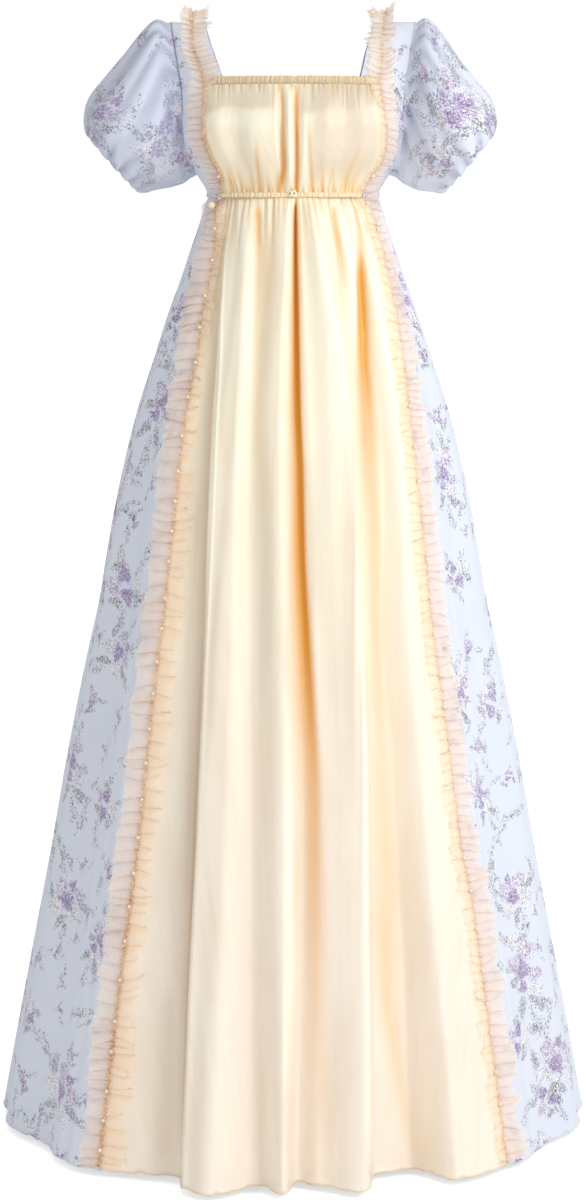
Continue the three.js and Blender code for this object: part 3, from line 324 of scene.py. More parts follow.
# skirt gathers that start at the waist: angle at the seam, angle where they die, depth mm, half width deg, length mm
WAIST_GATHERS = np.array([
    (-50, -47, 1.6, 1.3, 50), (-46, -43, 2.2, 1.4, 70), (-42, -38, 2.0, 1.3, 60), (-38, -35, -1.2, 1.3, 40),
    (-34, -31, 1.6, 1.2, 80), (-30, -27.5, 1.4, 1.1, 45), (-19, -17, 1.6, 1.2, 60), (-16.5, -15, -1.2, 1.1, 40),
    (-13, -12, 2.6, 1.5, 75), (-10, -9, 1.1, 1.0, 40), (-6.5, -6, 1.2, 1.1, 35), (-3, -3, -1.0, 1.0, 30),
    (6, 7, 1.2, 1.1, 40), (9, 11, 1.4, 1.2, 60), (13, 15, 1.8, 1.2, 70), (17.5, 19, 1.6, 1.2, 45), (21, 23, -1.2, 1.2, 50),
    (24, 27, 1.8, 1.2, 60), (34, 35, 1.6, 1.2, 50), (38, 37, -1.4, 1.4, 60), (42, 44, 2.6, 1.5, 90), (46, 49, 1.6, 1.2, 60),
    (50, 53, 1.8, 1.3, 70)], float)


def ripple(x, seeds, base):
    total = 0
    for k, s in enumerate(seeds):
        total = total + np.sin(base * (1 + 0.37 * k) * x + s * (1.7 + k)) / (1 + 0.45 * k)
    return total / len(seeds) * 1.3


def fine_skirt(angle, z):
    d = np.zeros_like(angle)
    depth = WAIST_LOW_Z - z
    for top, low, push_in, width, length in WAIST_GATHERS:
        t = min(1.5, depth / length)
        fade = max(0.0, 1 - t * 0.75) ** 1.3 * smooth(depth / 5)
        if fade <= 0:
            continue
        line = top + (low - top) * min(1.0, t)
        w = width * (0.6 + 0.7 * t)
        d = d - 1.6 * push_in * fade * np.exp(-(((angle - line) / w) ** 2))
    # printed sides and back: even small gathers at the seam, long soft folds below
    hidden = smooth((np.abs(angle) - 52) / 8)
    d = d + hidden * math.exp(-depth / 50) * smooth(depth / 5) * 2.4 * ripple(np.radians(angle), [0.3, 2.1, 4.4], 30)
    side = smooth((np.abs(angle) - 44) / 5)
    grow = smooth(depth / 160) * (0.8 + 1.4 * smooth(depth / 1100))
    grow = grow * (1 - 0.92 * smooth((np.abs(angle) - 48) / 10) * smooth((118 - np.abs(angle)) / 12))
    d = d + side * grow * 1.5 * np.sin(np.radians(angle) * 38 + 0.6 * math.sin(z / 170.0) + np.sign(angle))
    d = d + side * grow * 0.8 * np.sin(np.radians(angle) * 71 + 1.1 * math.sin(z / 120.0 + 2))
    # the satin's slack down its length
    satin = 1 - side
    d = d + satin * smooth(depth / 120) * 0.8 * np.sin(np.radians(angle) * 21 + z / 190.0 + 1.0) * math.sin(z / 130.0 + 0.7)
    d = d + satin * smooth(depth / 300) * 0.5 * np.sin(np.radians(angle) * 47 - z / 260.0 + 2.3)
    return d


RNG_TOP = np.random.RandomState(11)
NECK_CREASES = [(-39 + 78.5 * (k + 1.5 * RNG_TOP.rand()) / 40, 4 + 19 * RNG_TOP.rand() ** 2.0, 0.5 + 1.2 * RNG_TOP.rand(),
                 0.38 + 0.5 * RNG_TOP.rand()) for k in range(38)]
LOW_CREASES = [(-48 + 97 * (k + 0.6 * RNG_TOP.rand()) / 30, 7 + 20 * RNG_TOP.rand() ** 1.6, 1.2 + 1.6 * RNG_TOP.rand(),
                0.7 + 0.5 * RNG_TOP.rand()) for k in range(30)]


def fine_bodice(angle, z):
    """Ruching under the neck casing and gathers over the waist, with the painted shade in them."""
    top = NECK_BOTTOM_Z - z
    low = z - WAIST_TOP_Z
    d, shade = np.zeros_like(angle), np.zeros_like(angle)
    for a, length, push_in, width in NECK_CREASES:
        g = math.exp(-((top / length) ** 2)) * smooth(top / 1.5 + 0.35) * np.exp(-(((angle - a * (1 + 0.0009 * top)) / width) ** 2))
        d -= 1.5 * push_in * g
        shade = np.maximum(shade, 0.5 * push_in * g)
    for a, length, push_in, width in LOW_CREASES:
        g = math.exp(-((low / length) ** 2)) * smooth(low / 3 + 0.3) * np.exp(-(((angle - a * (1 - 0.0022 * low)) / (width * (1 + low / 40))) ** 2))
        d -= push_in * g
        shade = np.maximum(shade, 0.75 * g)
    side = smooth((angle + 40) / 4) * smooth((47 - angle) / 4)
    d = d + side * 0.5 * smooth(top / 25) * smooth(low / 25) * np.sin(np.radians(angle) * 23 + z / 40.0)
    return d, shade


def push(angle, z, skirt, detail=True):
    a = (np.asarray(angle, float) + 90) % 360 - 90
    if skirt:
        ang = np.array([pchip(FOLD_Z[::-1], row[:4][::-1], z) for row in FOLDS])
        amp = np.array([pchip(FOLD_Z[::-1], row[4:][::-1], z) for row in FOLDS])
        top = min(1.0, max(0.0, (WAIST_LOW_Z - z) / 14))
        i = np.clip(np.searchsorted(ang, a) - 1, 0, len(ang) - 2)
        t = (a - ang[i]) / (ang[i + 1] - ang[i])
        d = top * (amp[i] + (amp[i + 1] - amp[i]) * ease(t))
        if detail:
            around = np.where(a > 180, a - 360, a)
            d = d + fine_skirt(around, z) + top * bands(SKIRT_BANDS, around, z, True)[0]
        return d
    if z > NECK_BOTTOM_Z:
        return np.zeros_like(a)
    t = (NECK_BOTTOM_Z - z) / (NECK_BOTTOM_Z - WAIST_TOP_Z)
    line = GATHERS[:, 0] + (GATHERS[:, 1] - GATHERS[:, 0]) * t
    amp = (GATHERS[:, 2] + (GATHERS[:, 3] - GATHERS[:, 2]) * ease(t * 2)) if t < 0.5 else (
        GATHERS[:, 3] + (GATHERS[:, 4] - GATHERS[:, 3]) * ease(t * 2 - 1))
    edge = min(1.0, max(0.0, (1 - t) * 8), max(0.0, t * 8))
    i = np.clip(np.searchsorted(line, a) - 1, 0, len(line) - 2)
    u = (a - line[i]) / (line[i + 1] - line[i])
    inside = (a >= line[0]) & (a <= line[-1])
    d = np.where(inside, edge * (amp[i] + (amp[i + 1] - amp[i]) * ease(u)), 0.0)
    if detail:
        satin = smooth((a + 42) / 3) * smooth((44 - a) / 3)
        d = d + satin * (fine_bodice(a, z)[0] + edge * bands(BODICE_BANDS, a, z, False)[0])
    return d


def ring(angle, z, skirt, detail=True, out=0.0):
    """Points (n, 3) of the cloth at one height, mm. out moves them outward in plan."""
    angle = np.asarray(angle, float)
    x, y = plan(angle, z, skirt)
    x0, y0 = plan(angle - 0.25, z, skirt)
    x1, y1 = plan(angle + 0.25, z, skirt)
    nx, ny = y1 - y0, -(x1 - x0)
    m = np.hypot(nx, ny) + 1e-9
    d = push(angle, z, skirt, detail) + out
    return np.stack([x + nx / m * d, y + ny / m * d, np.full_like(x, float(z))], -1)


# ------------------------------------------------------------------ meshes
AREAS = {}


def grid_mesh(name, pts, uv=None, attrs=None, closed=False, mask=None):
    """pts (rows, cols, 3) in mm to a mesh in metres, with its area kept in AREAS."""
    rows, cols = pts.shape[:2]
    verts = (pts.reshape(-1, 3) * MM).astype(float)
    idx = np.arange(rows * cols).reshape(rows, cols)
    nxt = np.roll(idx, -1, axis=1) if closed else idx[:, 1:]
    cur = idx if closed else idx[:, :-1]
    quads = np.stack([cur[:-1], nxt[:-1], nxt[1:], cur[1:]], -1)
    if mask is not None:
        quads = quads[mask]
    quads = quads.reshape(-1, 4)
    used = np.unique(quads)
    remap = np.full(len(verts), -1)
    remap[used] = np.arange(len(used))
    loops = remap[quads.ravel()].astype(np.int32)
    me = bpy.data.meshes.new(name)
    me.vertices.add(len(used))
    me.vertices.foreach_set("co", verts[used].ravel())
    me.loops.add(len(loops))
    me.loops.foreach_set("vertex_index", loops)
    me.polygons.add(len(quads))
    me.polygons.foreach_set("loop_start", np.arange(0, len(loops), 4, dtype=np.int32))
    me.polygons.foreach_set("use_smooth", np.full(len(quads), True))
    if uv is not None:
        layer = me.uv_layers.new(name="UVMap")
        flat = uv.reshape(-1, 2)[quads.ravel()]
        if closed:  # the last column wraps: carry its far side on instead of jumping back
            width = uv[:, -1, 0].max() * cols / (cols - 1)
            f = flat.reshape(-1, 4, 2)
            wraps = f[:, 1, 0] < f[:, 0, 0] - width / 2
            f[wraps, 1, 0] += width
            f[wraps, 2, 0] += width
        layer.data.foreach_set("uv", flat.ravel())
    me.update(calc_edges=True)
    for key, values in (attrs or {}).items():
        a = me.attributes.new(key, "FLOAT", "POINT")
        a.data.foreach_set("value", np.asarray(values, float).ravel()[used])
    me.validate()
    p = verts[quads]
    AREAS[name] = float(0.5 * (np.linalg.norm(np.cross(p[:, 1] - p[:, 0], p[:, 2] - p[:, 0]), axis=1)
                               + np.linalg.norm(np.cross(p[:, 2] - p[:, 0], p[:, 3] - p[:, 0]), axis=1)).sum())
    obj = bpy.data.objects.new(name, me)
    SCN.collection.objects.link(obj)
    return obj


def loose_mesh(name, verts, faces):
    me = bpy.data.meshes.new(name)
    me.from_pydata([tuple(v) for v in verts], [], faces)
    me.polygons.foreach_set("use_smooth", np.full(len(me.polygons), True))
    obj = bpy.data.objects.new(name, me)
    SCN.collection.objects.link(obj)
    return obj


def lengths(pts):
    """UV in metres: along the rows from the first column, and down the columns."""
    du = np.linalg.norm(np.diff(pts, axis=1), axis=2)
    u = np.concatenate([np.zeros((len(pts), 1)), np.cumsum(du, axis=1)], 1)
    dv = np.linalg.norm(np.diff(pts, axis=0), axis=2)
    v = np.concatenate([np.zeros((1, pts.shape[1])), np.cumsum(dv, axis=0)], 0)
    v = np.broadcast_to(v.mean(axis=1, keepdims=True), u.shape)
    return np.stack([u * MM, v * MM], -1)


KINDS = ("rose", "pink", "pale", "leaf", "trail")


def flora(pts, uv, seed, front=True, widen=1.0, grow=1.36):
    """How much of each kind of motif lies at each point of a printed piece."""
    rng = np.random.RandomState(seed)
    u, v = uv[..., 0] / MM, uv[..., 1] / MM
    out = {k: np.zeros(u.shape) for k in KINDS}
    placed = []
    if front:
        for x, z, motif, turn, size in SPRAYS:
            d = np.hypot(pts[..., 0] - x, pts[..., 2] - z) + np.where(pts[..., 1] > 5, 1000, 0)
            at = np.unravel_index(np.argmin(d), d.shape)
            if d[at] < 9:
                placed.append((u[at], v[at], motif, turn, size * grow))
    fixed = list(placed)
    wide = len(placed) if widen != 1 else 0
    across = int(u.max() / REPEAT_ACROSS) + 2
    down = int(v.max() / REPEAT_DOWN) + 2
    k = seed
    for j in range(down):
        for i in range(across):
            cu = (i + 0.5 * (j % 2)) * REPEAT_ACROSS + 16 * (rng.rand() - 0.5)
            cv = j * REPEAT_DOWN + 26 * (rng.rand() - 0.5) + 20
            turn, size = 360 * rng.rand(), 0.8 + 0.4 * rng.rand()
            k += 1
            if min([math.hypot(cu - q[0], cv - q[1]) for q in fixed] or [999]) < 62:
                continue
            placed.append((cu, cv, SPREAD[k % len(SPREAD)], turn, size * 1.3))
    big = list(placed)
    for _ in range(int(u.max() * v.max() / 900)):
        cu, cv = rng.rand() * u.max(), rng.rand() * v.max()
        if min([math.hypot(cu - q[0], (cv - q[1]) * 0.85) for q in big] or [999]) < 44:
            continue
        if min([math.hypot(cu - q[0], cv - q[1]) for q in placed[len(big):]] or [999]) < 34:
            continue
        placed.append((cu, cv, "C", 360 * rng.rand(), 0.7 + 0.35 * rng.rand()))
    for number, (cu, cv, motif, turn, size) in enumerate(placed):
        stretch = widen if number < wide else 1.0
        near = (np.abs(u - cu) < 75 * size * stretch) & (np.abs(v - cv) < 75 * size)
        if not near.any():
            continue
        c, s = math.cos(math.radians(turn)), math.sin(math.radians(turn))
        du, dv = (u[near] - cu) / size / stretch, (v[near] - cv) / size
        lx, ly = c * du + s * dv, -(-s * du + c * dv)
        for kind, x, y, w, h, t in MOTIFS[motif]:
            ct, st = math.cos(math.radians(t)), math.sin(math.radians(t))
            ex, ey = ct * (lx - x) + st * (ly - y), -st * (lx - x) + ct * (ly - y)
            r = np.hypot(ex / w, ey / h)
            r = r * (1 + 0.16 * np.sin(3 * np.arctan2(ey, ex) + x) + 0.1 * np.sin(5 * np.arctan2(ey, ex) + y))
            m = np.clip(1.45 - r, 0, 1)
            out[kind][near] = np.maximum(out[kind][near], m)
    return out


# ------------------------------------------------------------------ materials
class Tree:
    """Short hands for shader nodes."""

    def __init__(self, nt):
        self.nt = nt

    def node(self, kind, **sets):
        m = self.nt.nodes.new(kind)
        for k, v in sets.items():
            setattr(m, k, v)
        return m

    def put(self, socket, value):
        if isinstance(value, bpy.types.NodeSocket):
            self.nt.links.new(value, socket)
        elif value is not None:
            socket.default_value = value

    def math(self, op, a, b=None, c=None, clamp=False):
        m = self.node("ShaderNodeMath", operation=op, use_clamp=clamp)
        self.put(m.inputs[0], a)
        if b is not None:
            self.put(m.inputs[1], b)
        if c is not None:
            self.put(m.inputs[2], c)
        return m.outputs[0]

    def mul(self, *values):
        total = values[0]
        for v in values[1:]:
            total = self.math("MULTIPLY", total, v)
        return total

    def vec(self, op, a, b=None):
        m = self.node("ShaderNodeVectorMath", operation=op)
        self.put(m.inputs[0], a)
        if b is not None:
            self.put(m.inputs[1], b)
        return m.outputs["Value"] if op in ("LENGTH", "DISTANCE", "DOT_PRODUCT") else m.outputs[0]

    def mix(self, fac, a, b, blend="MIX"):
        m = self.node("ShaderNodeMix", data_type="RGBA", blend_type=blend)
        m.clamp_factor = True
        self.put(m.inputs[0], fac)
        self.put(m.inputs[6], a)
        self.put(m.inputs[7], b)
        return m.outputs[2]

    def range(self, v, lo, hi, a=0.0, b=1.0, kind="SMOOTHSTEP"):
        m = self.node("ShaderNodeMapRange", interpolation_type=kind)
        self.put(m.inputs[0], v)
        for i, x in zip((1, 2, 3, 4), (lo, hi, a, b)):
            self.put(m.inputs[i], x)
        return m.outputs[0]

    def noise(self, vector, scale, detail=2.0, rough=0.5, distortion=0.0):
        m = self.node("ShaderNodeTexNoise", noise_dimensions="2D")
        self.put(m.inputs["Vector"], vector)
        m.inputs["Scale"].default_value = scale
        m.inputs["Detail"].default_value = detail
        m.inputs["Roughness"].default_value = rough
        m.inputs["Distortion"].default_value = distortion
        return m

    def cells(self, vector, scale, feature="F1", spread=1.0):
        m = self.node("ShaderNodeTexVoronoi", voronoi_dimensions="2D", feature=feature)
        self.put(m.inputs["Vector"], vector)
        m.inputs["Scale"].default_value = scale
        m.inputs["Randomness"].default_value = spread
        return m

    def attr(self, name):
        return self.node("ShaderNodeAttribute", attribute_name=name).outputs["Fac"]

    def split(self, colour):
        m = self.node("ShaderNodeSeparateColor")
        self.put(m.inputs[0], colour)
        return m.outputs

    def uv(self):
        return self.node("ShaderNodeUVMap", uv_map="UVMap").outputs[0]


def lin(r, g, b):
    def one(c):
        return c / 255 / 12.92 if c / 255 <= 0.04045 else ((c / 255 + 0.055) / 1.055) ** 2.4
    return (one(r), one(g), one(b), 1.0)


def new_material(name):
    mat = bpy.data.materials.new(name)
    mat.use_nodes = True
    mat.node_tree.nodes.clear()
    t = Tree(mat.node_tree)
    return mat, t, t.node("ShaderNodeOutputMaterial")


def satin_material():
    mat, t, out = new_material("satin")
    uv = t.uv()
    low = t.attr("low")
    cloud = t.noise(t.vec("MULTIPLY", uv, (20.0, 5.0, 1.0)), 1.0, 3, 0.55).outputs["Fac"]
    base = t.mix(low, lin(253, 242, 217), lin(250, 238, 223))
    base = t.mix(t.math("MULTIPLY", t.range(cloud, 0.4, 0.7), 0.30), base, lin(238, 218, 190))
    streak = t.noise(t.vec("MULTIPLY", uv, (160.0, 3.0, 1.0)), 1.0, 3, 0.6).outputs["Fac"]
    base = t.mix(t.math("MULTIPLY", t.range(streak, 0.45, 0.75), 0.14), base, lin(233, 215, 188))
    # painted shade: soft grey-beige shade over broad folds and the lower bodice
    base = t.mix(t.attr("painted_cool_shade"), base, lin(224, 207, 186))
    # painted shade: the upper bodice and the neck casing darker
    base = t.mix(t.attr("painted_grey_shade"), base, lin(208, 195, 170))
    # painted shade in the hollow under the skirt's left fold edge
    base = t.mix(t.attr("painted_beige_shade"), base, lin(198, 168, 136))
    # painted shade: warm tan in the hollows, creases, gathers, casing dips and along the rolled hem
    base = t.mix(t.attr("tan"), base, lin(236, 198, 132))
    # painted shade: deep warm orange in the narrow troughs and pleats, where the satin lies in its own shade
    base = t.mix(t.math("MULTIPLY", t.attr("glow"), 1.3, clamp=True), base, lin(230, 162, 62))
    # painted highlight along the fold edges and ridges
    base = t.mix(t.attr("light"), base, lin(255, 253, 234))
    b = t.node("ShaderNodeBsdfPrincipled")
    t.put(b.inputs["Base Color"], base)
    b.inputs["Roughness"].default_value = 0.32
    b.inputs["Specular IOR Level"].default_value = 0.38
    b.inputs["Anisotropic"].default_value = 0.5
    b.inputs["Sheen Weight"].default_value = 0.06
    b.inputs["Sheen Roughness"].default_value = 0.4
    threads = t.noise(t.vec("MULTIPLY", uv, (2600.0, 420.0, 1.0)), 1.0, 1, 0.5).outputs["Fac"]
    creases = t.noise(t.vec("MULTIPLY", uv, (48.0, 6.0, 1.0)), 1.0, 4, 0.55, 0.5).outputs["Fac"]
    crumple = t.noise(t.vec("MULTIPLY", uv, (26.0, 19.0, 1.0)), 1.0, 3, 0.5, 0.8).outputs["Fac"]
    height = t.math("ADD", t.math("MULTIPLY", threads, 0.00005),
                    t.math("ADD", t.math("MULTIPLY", creases, 0.0016), t.math("MULTIPLY", crumple, 0.0012)))
    bump = t.node("ShaderNodeBump")
    bump.inputs["Strength"].default_value = 0.5
    bump.inputs["Distance"].default_value = 1.0
    t.put(bump.inputs["Height"], height)
    t.put(b.inputs["Normal"], bump.outputs[0])
    t.put(out.inputs[0], b.outputs[0])
    return mat


def dashes(t, mm, long, wide, patch, density, offset):
    """Short strokes in mm, turned patch by patch: mask, and a random number for each stroke."""
    moved = t.vec("ADD", mm, (offset, offset * 1.7, 0.0))
    p = t.cells(moved, 1.0 / patch)
    turn = t.node("ShaderNodeVectorRotate", rotation_type="Z_AXIS")
    t.put(turn.inputs["Vector"], moved)
    t.put(turn.inputs["Angle"], t.math("MULTIPLY", t.split(p.outputs["Color"])[0], 6.28))
    c = t.cells(t.vec("DIVIDE", turn.outputs[0], (long, wide, 1.0)), 1.0, spread=0.85)
    near = t.range(c.outputs["Distance"], 0.30, 0.44, 1.0, 0.0)
    rnd = t.split(c.outputs["Color"])
    here = t.math("GREATER_THAN", density, rnd[0])
    return t.math("MULTIPLY", near, here), rnd[1], rnd[2]


def print_material():
    mat, t, out = new_material("floral_print")
    uv = t.uv()
    mm = t.vec("MULTIPLY", uv, (1000.0, 1000.0, 0.0))
    wander = t.noise(mm, 0.16, 2, 0.5).outputs["Color"]
    mm = t.vec("ADD", mm, t.vec("MULTIPLY", t.vec("SUBTRACT", wander, (0.5, 0.5, 0.5)), (9.0, 9.0, 0.0)))
    rag = t.noise(mm, 0.3, 3, 0.6).outputs["Fac"]
    rag = t.math("MULTIPLY", t.math("SUBTRACT", rag, 0.5), 1.5)
    area = {}
    for k in KINDS:
        area[k] = t.range(t.math("ADD", t.attr(k), rag), 0.42, 0.62)
    cloud = t.noise(mm, 0.012, 2, 0.5).outputs["Fac"]
    base = t.mix(cloud, lin(219, 225, 238), lin(226, 231, 241))
    fine = t.noise(mm, 0.55, 2, 0.5).outputs["Fac"]
    patchy = t.range(fine, 0.38, 0.62)
    # washes of colour under the strokes
    base = t.mix(t.mul(area["pale"], t.math("ADD", t.math("MULTIPLY", patchy, 0.5), 0.35)), base, lin(246, 246, 250))
    base = t.mix(t.mul(area["leaf"], patchy, 0.28), base, lin(196, 198, 188))
    base = t.mix(t.mul(area["pink"], t.math("ADD", t.math("MULTIPLY", patchy, 0.4), 0.12)), base, lin(228, 208, 230))
    base = t.mix(t.mul(area["rose"], t.math("ADD", t.math("MULTIPLY", patchy, 0.42), 0.10)), base, lin(194, 170, 212))
    # petal outlines
    petals = t.cells(t.vec("ADD", mm, (37.0, 11.0, 0.0)), 1 / 4.6, "DISTANCE_TO_EDGE")
    outline = t.range(petals.outputs["Distance"], 0.05, 0.13, 1.0, 0.0)
    base = t.mix(t.mul(area["pale"], outline, 0.5), base, lin(170, 176, 188))
    base = t.mix(t.mul(area["pink"], outline, 0.4), base, lin(190, 158, 198))
    base = t.mix(t.mul(area["rose"], outline, 0.75), base, lin(124, 90, 156))
    # strokes: white first, then ink over them
    d0, r0, q0 = dashes(t, mm, 3.8, 2.0, 9.0, t.math("MAXIMUM", t.math("MULTIPLY", area["pale"], 0.7), t.math("MULTIPLY", area["pink"], 0.5)), 55.0)
    base = t.mix(t.math("MULTIPLY", d0, 0.85), base, lin(252, 251, 252))
    dp, rp, qp = dashes(t, mm, 3.2, 1.3, 8.0, t.math("MAXIMUM", t.math("MULTIPLY", area["pale"], 0.36), t.math("MULTIPLY", area["pink"], 0.2)), 210.0)
    base = t.mix(t.math("MULTIPLY", dp, 0.8), base, t.mix(rp, lin(118, 122, 134), lin(164, 162, 158)))
    d1, r1, q1 = dashes(t, mm, 3.6, 1.5, 9.0, t.math("MAXIMUM", t.math("MULTIPLY", area["rose"], 0.8), t.math("MULTIPLY", area["pink"], 0.5)), 3.0)
    ink = t.mix(r1, lin(112, 78, 150), lin(178, 128, 188))
    ink = t.mix(t.math("GREATER_THAN", q1, 0.82), ink, lin(76, 70, 92))
    base = t.mix(t.math("MULTIPLY", d1, 0.92), base, ink)
    d2, r2, q2 = dashes(t, mm, 4.0, 1.5, 11.0, t.math("MAXIMUM", t.math("MULTIPLY", area["leaf"], 0.95), t.math("MULTIPLY", area["trail"], 0.6)), 91.0)
    ink = t.mix(r2, lin(78, 82, 88), lin(136, 136, 112))
    ink = t.mix(t.math("GREATER_THAN", q2, 0.8), ink, lin(142, 108, 160))
    base = t.mix(t.math("MULTIPLY", d2, 0.92), base, ink)
    around = t.math("MAXIMUM", t.math("MAXIMUM", t.attr("rose"), t.attr("pink")), t.math("MAXIMUM", t.attr("pale"), t.attr("leaf")))
    d3, r3, q3 = dashes(t, mm, 3.0, 1.5, 13.0, t.math("ADD", t.math("MULTIPLY", t.range(around, 0.05, 0.45), 0.24), 0.0), 160.0)
    base = t.mix(t.math("MULTIPLY", d3, 0.8), base, t.mix(r3, lin(110, 104, 122), lin(166, 140, 176)))
    # dark seam lines; on the waist casing this also carries painted shade in the crimp dips
    base = t.mix(t.attr("seam"), base, lin(84, 90, 104))
    # painted shade in the sleeve folds, cap gathers and lobe valleys, and over the whole left sleeve
    base = t.mix(t.attr("shade"), base, lin(150, 158, 184))
    b = t.node("ShaderNodeBsdfPrincipled")
    t.put(b.inputs["Base Color"], base)
    b.inputs["Roughness"].default_value = 0.82
    b.inputs["Specular IOR Level"].default_value = 0.2
    b.inputs["Sheen Weight"].default_value = 0.08
    weave = t.noise(t.vec("MULTIPLY", uv, (1500.0, 1500.0, 1.0)), 1.0, 1, 0.5).outputs["Fac"]
    rumple = t.noise(t.vec("MULTIPLY", uv, (22.0, 12.0, 1.0)), 1.0, 4, 0.55, 0.6).outputs["Fac"]
    bump = t.node("ShaderNodeBump")
    bump.inputs["Strength"].default_value = 0.6
    bump.inputs["Distance"].default_value = 1.0
    t.put(bump.inputs["Height"], t.math("ADD", t.math("MULTIPLY", weave, 0.00006), t.math("MULTIPLY", rumple, 0.0022)))
    t.put(b.inputs["Normal"], bump.outputs[0])
    t.put(out.inputs[0], b.outputs[0])
    return mat


def tulle_material():
    mat, t, out = new_material("tulle")
    uv = t.uv()
    line, stitch, over, crest_highlight = t.attr("line"), t.attr("stitch"), t.attr("over"), t.attr("crest_highlight")
    base = t.mix(over, lin(253, 235, 211), lin(253, 233, 220))
    # painted highlight on the raised crests of the pleats
    base = t.mix(t.math("MULTIPLY", crest_highlight, 0.7), base, lin(255, 248, 238))
    # painted shade along the pleat folds, where the tulle also lies in more layers
    base = t.mix(t.math("MULTIPLY", line, 0.6), base, lin(208, 172, 150))
    # painted highlight on the curled outer edges of the wings
    base = t.mix(t.math("MULTIPLY", t.math("POWER", t.attr("rim"), 6.0), 0.55), base, lin(255, 248, 238))
    crinkle = t.noise(t.vec("MULTIPLY", uv, (620.0, 420.0, 1.0)), 1.0, 2, 0.6, 0.4).outputs["Fac"]
    band = t.math("MULTIPLY", stitch, t.range(crinkle, 0.42, 0.64), clamp=True)
    base = t.mix(t.math("MULTIPLY", stitch, 0.5), base, lin(244, 214, 178))
    base = t.mix(t.math("MULTIPLY", band, 0.9), base, lin(208, 150, 104))
    b = t.node("ShaderNodeBsdfPrincipled")
    t.put(b.inputs["Base Color"], base)
    b.inputs["Roughness"].default_value = 0.7
    b.inputs["Specular IOR Level"].default_value = 0.25
    glow = t.node("ShaderNodeBsdfTranslucent")
    t.put(glow.inputs["Color"], base)
    both = t.node("ShaderNodeMixShader")
    both.inputs[0].default_value = 0.42
    t.put(both.inputs[1], b.outputs[0])
    t.put(both.inputs[2], glow.outputs[0])
    clear = t.node("ShaderNodeBsdfTransparent")
    net = t.noise(t.vec("MULTIPLY", uv, (900.0, 900.0, 1.0)), 1.0, 1, 0.5).outputs["Fac"]
    solid = t.math("ADD", t.math("ADD", 0.54, t.math("MULTIPLY", net, 0.26)),
                   t.math("ADD", t.math("MULTIPLY", stitch, 0.4), t.math("ADD", t.math("MULTIPLY", line, 0.3), t.math("MULTIPLY", crest_highlight, 0.22))), clamp=True)
    rim = t.attr("rim")
    solid = t.math("MULTIPLY", solid, t.math("SUBTRACT", 1.0, t.math("MULTIPLY", t.math("POWER", rim, 5.0), t.math("ADD", 0.12, t.math("MULTIPLY", net, 0.5)))), clamp=True)
    thin = t.math("SUBTRACT", 1.0, t.math("MULTIPLY", t.node("ShaderNodeLightPath").outputs["Is Shadow Ray"], 0.55))
    m = t.node("ShaderNodeMixShader")
    t.put(m.inputs[0], t.math("MULTIPLY", solid, thin))
    t.put(m.inputs[1], clear.outputs[0])
    t.put(m.inputs[2], both.outputs[0])
    t.put(out.inputs[0], m.outputs[0])
    return mat


def pearl_material():
    mat, t, out = new_material("pearl")
    b = t.node("ShaderNodeBsdfPrincipled")
    b.inputs["Base Color"].default_value = lin(247, 228, 204)
    b.inputs["Roughness"].default_value = 0.16
    b.inputs["Coat Weight"].default_value = 0.7
    b.inputs["Sheen Weight"].default_value = 0.3
    t.put(out.inputs[0], b.outputs[0])
    return mat


SATIN, PRINT, TULLE, PEARL = satin_material(), print_material(), tulle_material(), pearl_material()


def finish_piece(obj, mat, slot, *replaced):
    obj.data.materials.append(mat)
    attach(obj, "root")
    if replaced:
        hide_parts(*replaced)
    return obj


CUT = 1.0


def n(count):
    return max(6, int(count * CUT))


def seam_l(z):
    return float(col(RUFFLE_SEAM, z, 1))


def seam_r(z):
    return float(col(RUFFLE_SEAM, z, 2))


def arm_line(z):
    return 90.0 if z < UNDERARM_Z else float(col(STRAP, z, 3))


def extra(shape, **some):
    base = {k: np.zeros(shape) for k in ("seam", "shade")}
    base.update(some)
    return base


# ------------------------------------------------------------------ skirt
def skirt_rows(rows):
    return SKIRT_TOP_Z + (HEM_Z - SKIRT_TOP_Z) * np.linspace(0, 1, rows) ** 1.25


def rolled(pts):
    """A narrow rolled hem: the edge turns in and up behind."""
    last = pts[-1]
    inward = -last.copy()
    inward[:, 2] = 0
    inward /= np.linalg.norm(inward, axis=1)[:, None] + 1e-9
    along = np.concatenate([[0], np.cumsum(np.linalg.norm(np.diff(last, axis=0), axis=1))])
    wig = 0.7 * np.sin(along / 4.3 + 2 * np.sin(along / 31)) + 0.5 * np.sin(along / 7.9 + 1.3)
    add = []
    for out, down in ((1.1, -0.6), (0.9, -2.2), (-0.6, -2.8), (-1.8, -1.6), (-1.8, 1.2)):
        p = last - inward * out
        p[:, 2] += down + wig
        add.append(p)
    return np.concatenate([pts, np.array(add)], 0)


def tucked(pts):
    """One more row on top, up behind the casing."""
    first = pts[0].copy()
    first[:, :2] *= 0.996
    first[:, 2] += 1.6
    return np.concatenate([first[None], pts], 0)


def gather_shade(angle, z):
    depth = WAIST_LOW_Z - z
    shade = np.zeros_like(angle)
    for top, low, push_in, width, length in WAIST_GATHERS:
        t = min(1.5, depth / length)
        fade = max(0.0, 1 - t * 0.75) ** 1.3
        if push_in < 0 or fade <= 0:
            continue
        line = top + (low - top) * min(1.0, t)
        shade = np.maximum(shade, min(1.0, push_in / 2.4) * fade * np.exp(-(((angle - line) / (width * (0.5 + 0.5 * t))) ** 2)))
    return shade


